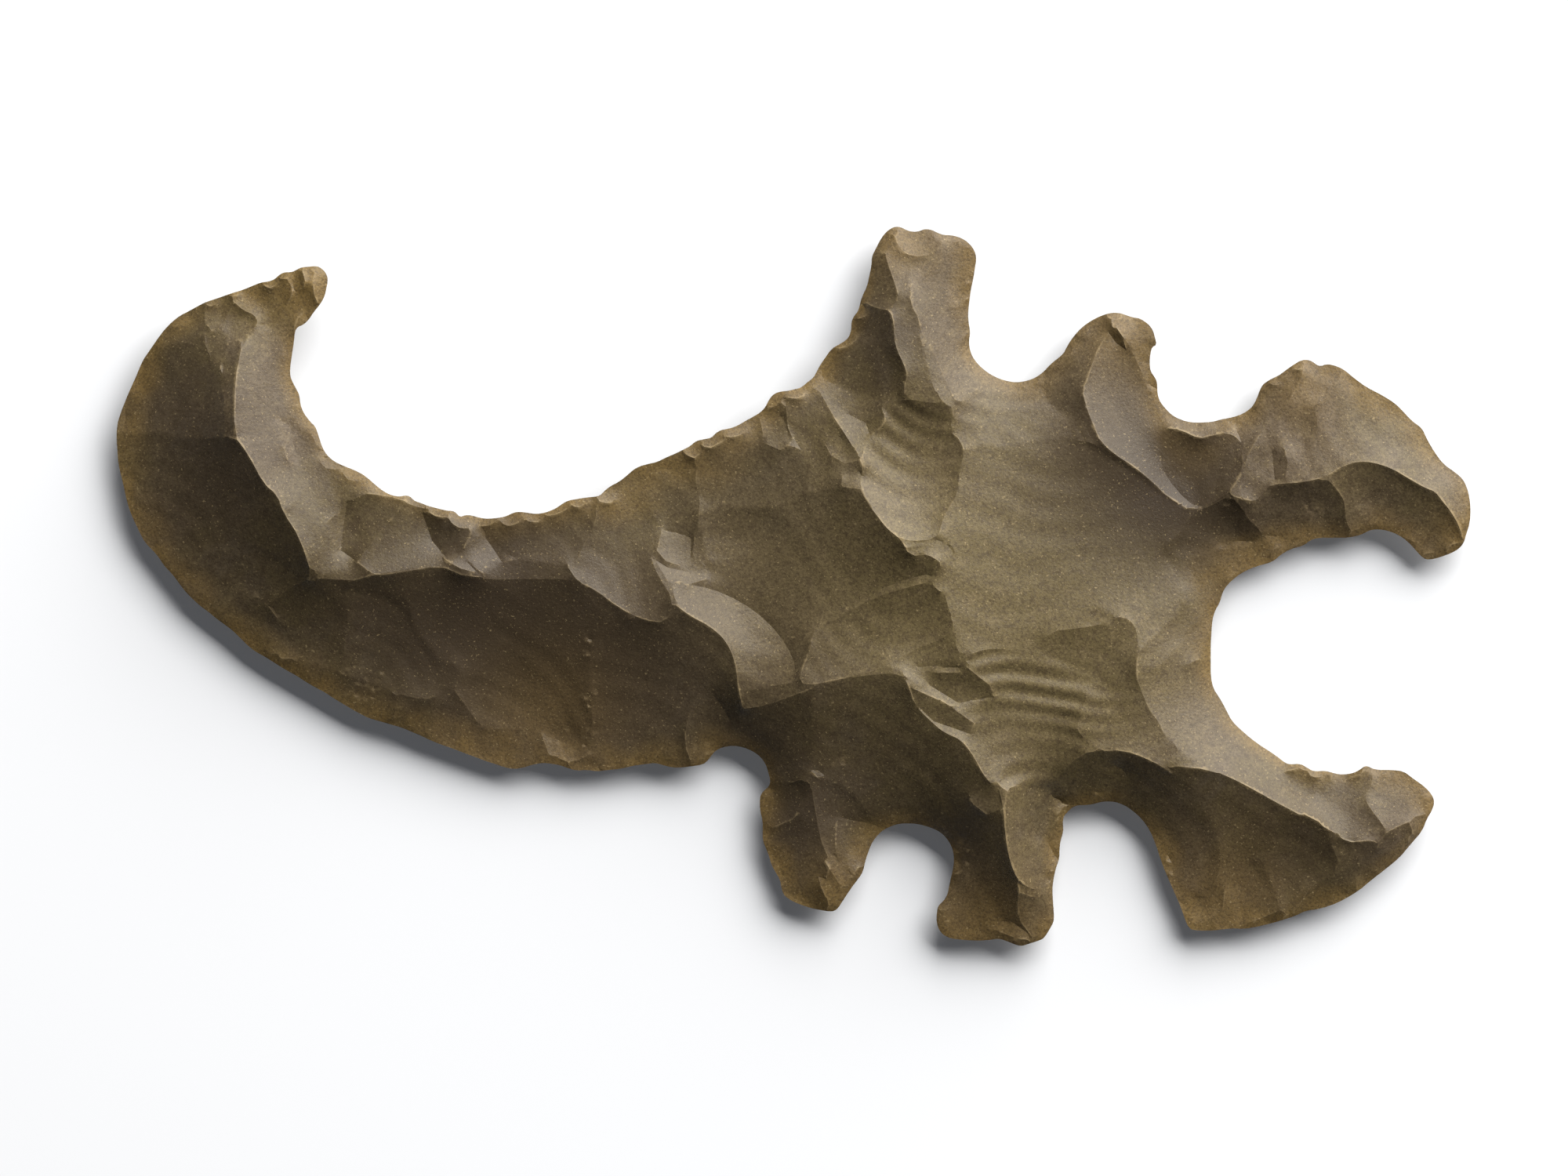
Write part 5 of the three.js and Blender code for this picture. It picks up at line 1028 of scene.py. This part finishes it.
def add_node(material, kind, inputs, **settings):
    """A node of the material with its settings, and its inputs as values or as links from other nodes."""
    node = material.node_tree.nodes.new(kind)
    for name, value in settings.items():
        setattr(node, name, value)
    for name, value in inputs.items():
        if isinstance(value, bpy.types.NodeSocket):
            material.node_tree.links.new(value, node.inputs[name])
        else:
            node.inputs[name].default_value = value
    return node


# Chert: a dull, waxy quartz stone, freshly flaked. Large soft clouds of greyer and of olive stone run through
# it, with darker and paler mottles, and its crumbs are paler. Its crests are paler too, partly from wear and
# partly as a painted highlight along the ridges. Dark patches on the sides that face away from the lamp are
# painted shade, partly darker stone. Where it thins to its edge, and in the tips, it is tinted honey, as if
# light came through. Its grains are far finer than the eye can see. The pepper, the pale glints, which are
# painted tiny highlights, and the bumps are drawn 0.4 to 0.5 mm wide, so that they show as a dull, dry skin.
chert = bpy.data.materials.new("flaked_chert")
chert.use_nodes = True
chert.node_tree.nodes.clear()
where = add_node(chert, "ShaderNodeTexCoord", {}).outputs["Object"]

# How much of each colour shows. It follows a mark of the mesh or a pattern, which has patches about so many
# millimetres wide, and then its detail and its roughness. While that goes from begin to end, the share goes
# from least to most. Without these four the mark or the pattern is taken as it is.
shares = {}
for name, follows, *span in (
        ("olive stone", (34, 3.0, 0.5), 0.42, 0.62, 0.0, 0.8),
        ("grey stone", (13, 4.0, 0.6), 0.48, 0.7, 0.0, 0.6),
        ("brown mottles", (3.2, 4.0, 0.7), 0.42, 0.7, 0.0, 0.6),
        ("pale mottles", (2.3, 4.0, 0.7), 0.5, 0.68, 0.0, 0.35),
        ("dark mottles", (1.1, 4.0, 0.7), 0.47, 0.64, 0.0, 0.45),
        ("rim", "thickness_mm", 0.3, 3.4, 0.7, 0.0),
        ("rim patches", (7, 2.0, 0.5), 0.3, 0.65, 0.5, 1.0),
        ("pepper", (0.45, 2.0, 0.6), 0.42, 0.66, 0.0, 0.5),
        # Painted glints: tiny pale specks that stand for highlights.
        ("painted glints", (0.4, 2.0, 0.5), 0.63, 0.74, 0.0, 0.32),
        # Pale crests: partly wear, partly a painted highlight along the ridges.
        ("worn and lit crests", "crest", 0.05, 0.2, 0.0, 0.32),
        ("crest patches", (3.5, 2.0, 0.6), 0.4, 0.62, 0.2, 1.0),
        ("crumbs", "crushed", 0.4, 1.0, 0.0, 0.06),
        ("olive cloud", "olive_cloud"), ("dark stone and shade", "dark_stone_and_shade"), ("honey tips", "honey"),
        ("grains", (0.5, 3.0, 0.7))):
    if isinstance(follows, str):
        source = add_node(chert, "ShaderNodeAttribute", {}, attribute_name=follows)
    else:
        size_mm, detail, roughness = follows
        source = add_node(chert, "ShaderNodeTexNoise", {
            "Vector": where, "Scale": 1000 / size_mm, "Detail": detail, "Roughness": roughness,
            "Distortion": 0.2})
    shares[name] = source.outputs["Fac"]
    if span:
        begin, end, least, most = span
        shares[name] = add_node(chert, "ShaderNodeMapRange", {
            "Value": shares[name], "From Min": begin, "From Max": end, "To Min": least, "To Max": most},
            interpolation_type="SMOOTHSTEP").outputs["Result"]
for name, other, operation in (("rim", "rim patches", "MULTIPLY"), ("rim", "honey tips", "MAXIMUM"),
                               ("worn and lit crests", "crest patches", "MULTIPLY")):
    shares[name] = add_node(chert, "ShaderNodeMath", {0: shares[name], 1: shares[other]},
                            operation=operation).outputs[0]
colour = linear("#5E513F")
# The dark stone and shade tint is painted shade on the sides facing away from the lamp, partly darker stone.
for name, tint in (("olive stone", "#5F5336"), ("grey stone", "#61564A"), ("brown mottles", "#4D4130"),
                   ("olive cloud", "#62563A"), ("pale mottles", "#7A6B4E"), ("dark mottles", "#3F3427"),
                   ("dark stone and shade", "#382F25"), ("rim", "#745E36"), ("pepper", "#3C3123"),
                   ("painted glints", "#B6A177"), ("worn and lit crests", "#A28E6A"), ("crumbs", "#A28E6A")):
    colour = add_node(chert, "ShaderNodeMix", {0: shares[name], 6: colour, 7: linear(tint)},
                      data_type="RGBA").outputs[2]
grain_bump = add_node(chert, "ShaderNodeBump", {
    "Height": shares["grains"], "Strength": 0.8, "Distance": 0.00009})
skin = add_node(chert, "ShaderNodeBsdfPrincipled", {
    "Base Color": colour, "Roughness": 0.42, "IOR": 1.54, "Specular IOR Level": 0.17,
    "Normal": grain_bump.outputs["Normal"]})
add_node(chert, "ShaderNodeOutputMaterial", {"Surface": skin.outputs["BSDF"]})
mesh.materials.append(chert)
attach(stone_piece, "root")
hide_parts("knapped_flint")

# The floor, the light and the camera: the stone lies on a white paper sheet that glows very faintly, so that
# its shadow stays soft. One large lamp shines low from the upper right, a faint bluish light fills the
# shadows, and the camera looks straight down through a long lens.
FLOOR_WIDTH, FLOOR_DROP = 4.0, 0.0001
LAMP_AWAY, LAMP_WIDTH, LAMP_TURN, LAMP_HEIGHT, LAMP_WATTS, ROOM_LIGHT = 2.6, 3.2, 55, 24, 325, 0.03
CENTRE_X, CENTRE_Y, VIEW_LEVEL, VIEW_WIDTH, SENSOR, DISTANCE = -0.0017, -0.0003, 0.006, 0.2776, 36, 1.5
bpy.ops.object.select_all(action="DESELECT")
bpy.ops.mesh.primitive_plane_add(size=FLOOR_WIDTH, location=(0, 0, -FLOOR_DROP))
floor = bpy.context.object
floor.name = "white_sheet"
paper = bpy.data.materials.new("white_paper")
paper.use_nodes = True
paper.node_tree.nodes.clear()
sheet = add_node(paper, "ShaderNodeBsdfPrincipled", {
    "Base Color": linear("#DEE0E4"), "Roughness": 0.9, "Specular IOR Level": 0.1,
    "Emission Color": linear("#EEF1F6"), "Emission Strength": 0.08})
add_node(paper, "ShaderNodeOutputMaterial", {"Surface": sheet.outputs["BSDF"]})
floor.data.materials.append(paper)

turn, height = math.radians(LAMP_TURN), math.radians(LAMP_HEIGHT)
towards = Vector((math.cos(turn) * math.cos(height), math.sin(turn) * math.cos(height), math.sin(height)))
bpy.ops.object.light_add(type="AREA", location=towards * LAMP_AWAY)
lamp = bpy.context.object
lamp.name = "soft_lamp"
lamp.rotation_euler = towards.to_track_quat("Z", "Y").to_euler()
lamp.data.size = LAMP_WIDTH
lamp.data.energy = LAMP_WATTS
lamp.data.color = linear("#FFFDF9")[:3]
world = bpy.data.worlds.new("soft_room")
bpy.context.scene.world = world
world.use_nodes = True
room = world.node_tree.nodes["Background"]
room.inputs["Color"].default_value = linear("#C8D4F0")
room.inputs["Strength"].default_value = ROOM_LIGHT

bpy.ops.object.camera_add(location=(CENTRE_X, CENTRE_Y, VIEW_LEVEL + DISTANCE), rotation=(0, 0, 0))
camera = bpy.context.object
camera.name = "camera_above"
camera.data.sensor_width = SENSOR
camera.data.lens = SENSOR * DISTANCE / VIEW_WIDTH
camera.data.clip_start = 0.01
bpy.context.scene.camera = camera
bpy.context.scene.view_settings.view_transform = "Standard"
bpy.context.scene.view_settings.look = "None"
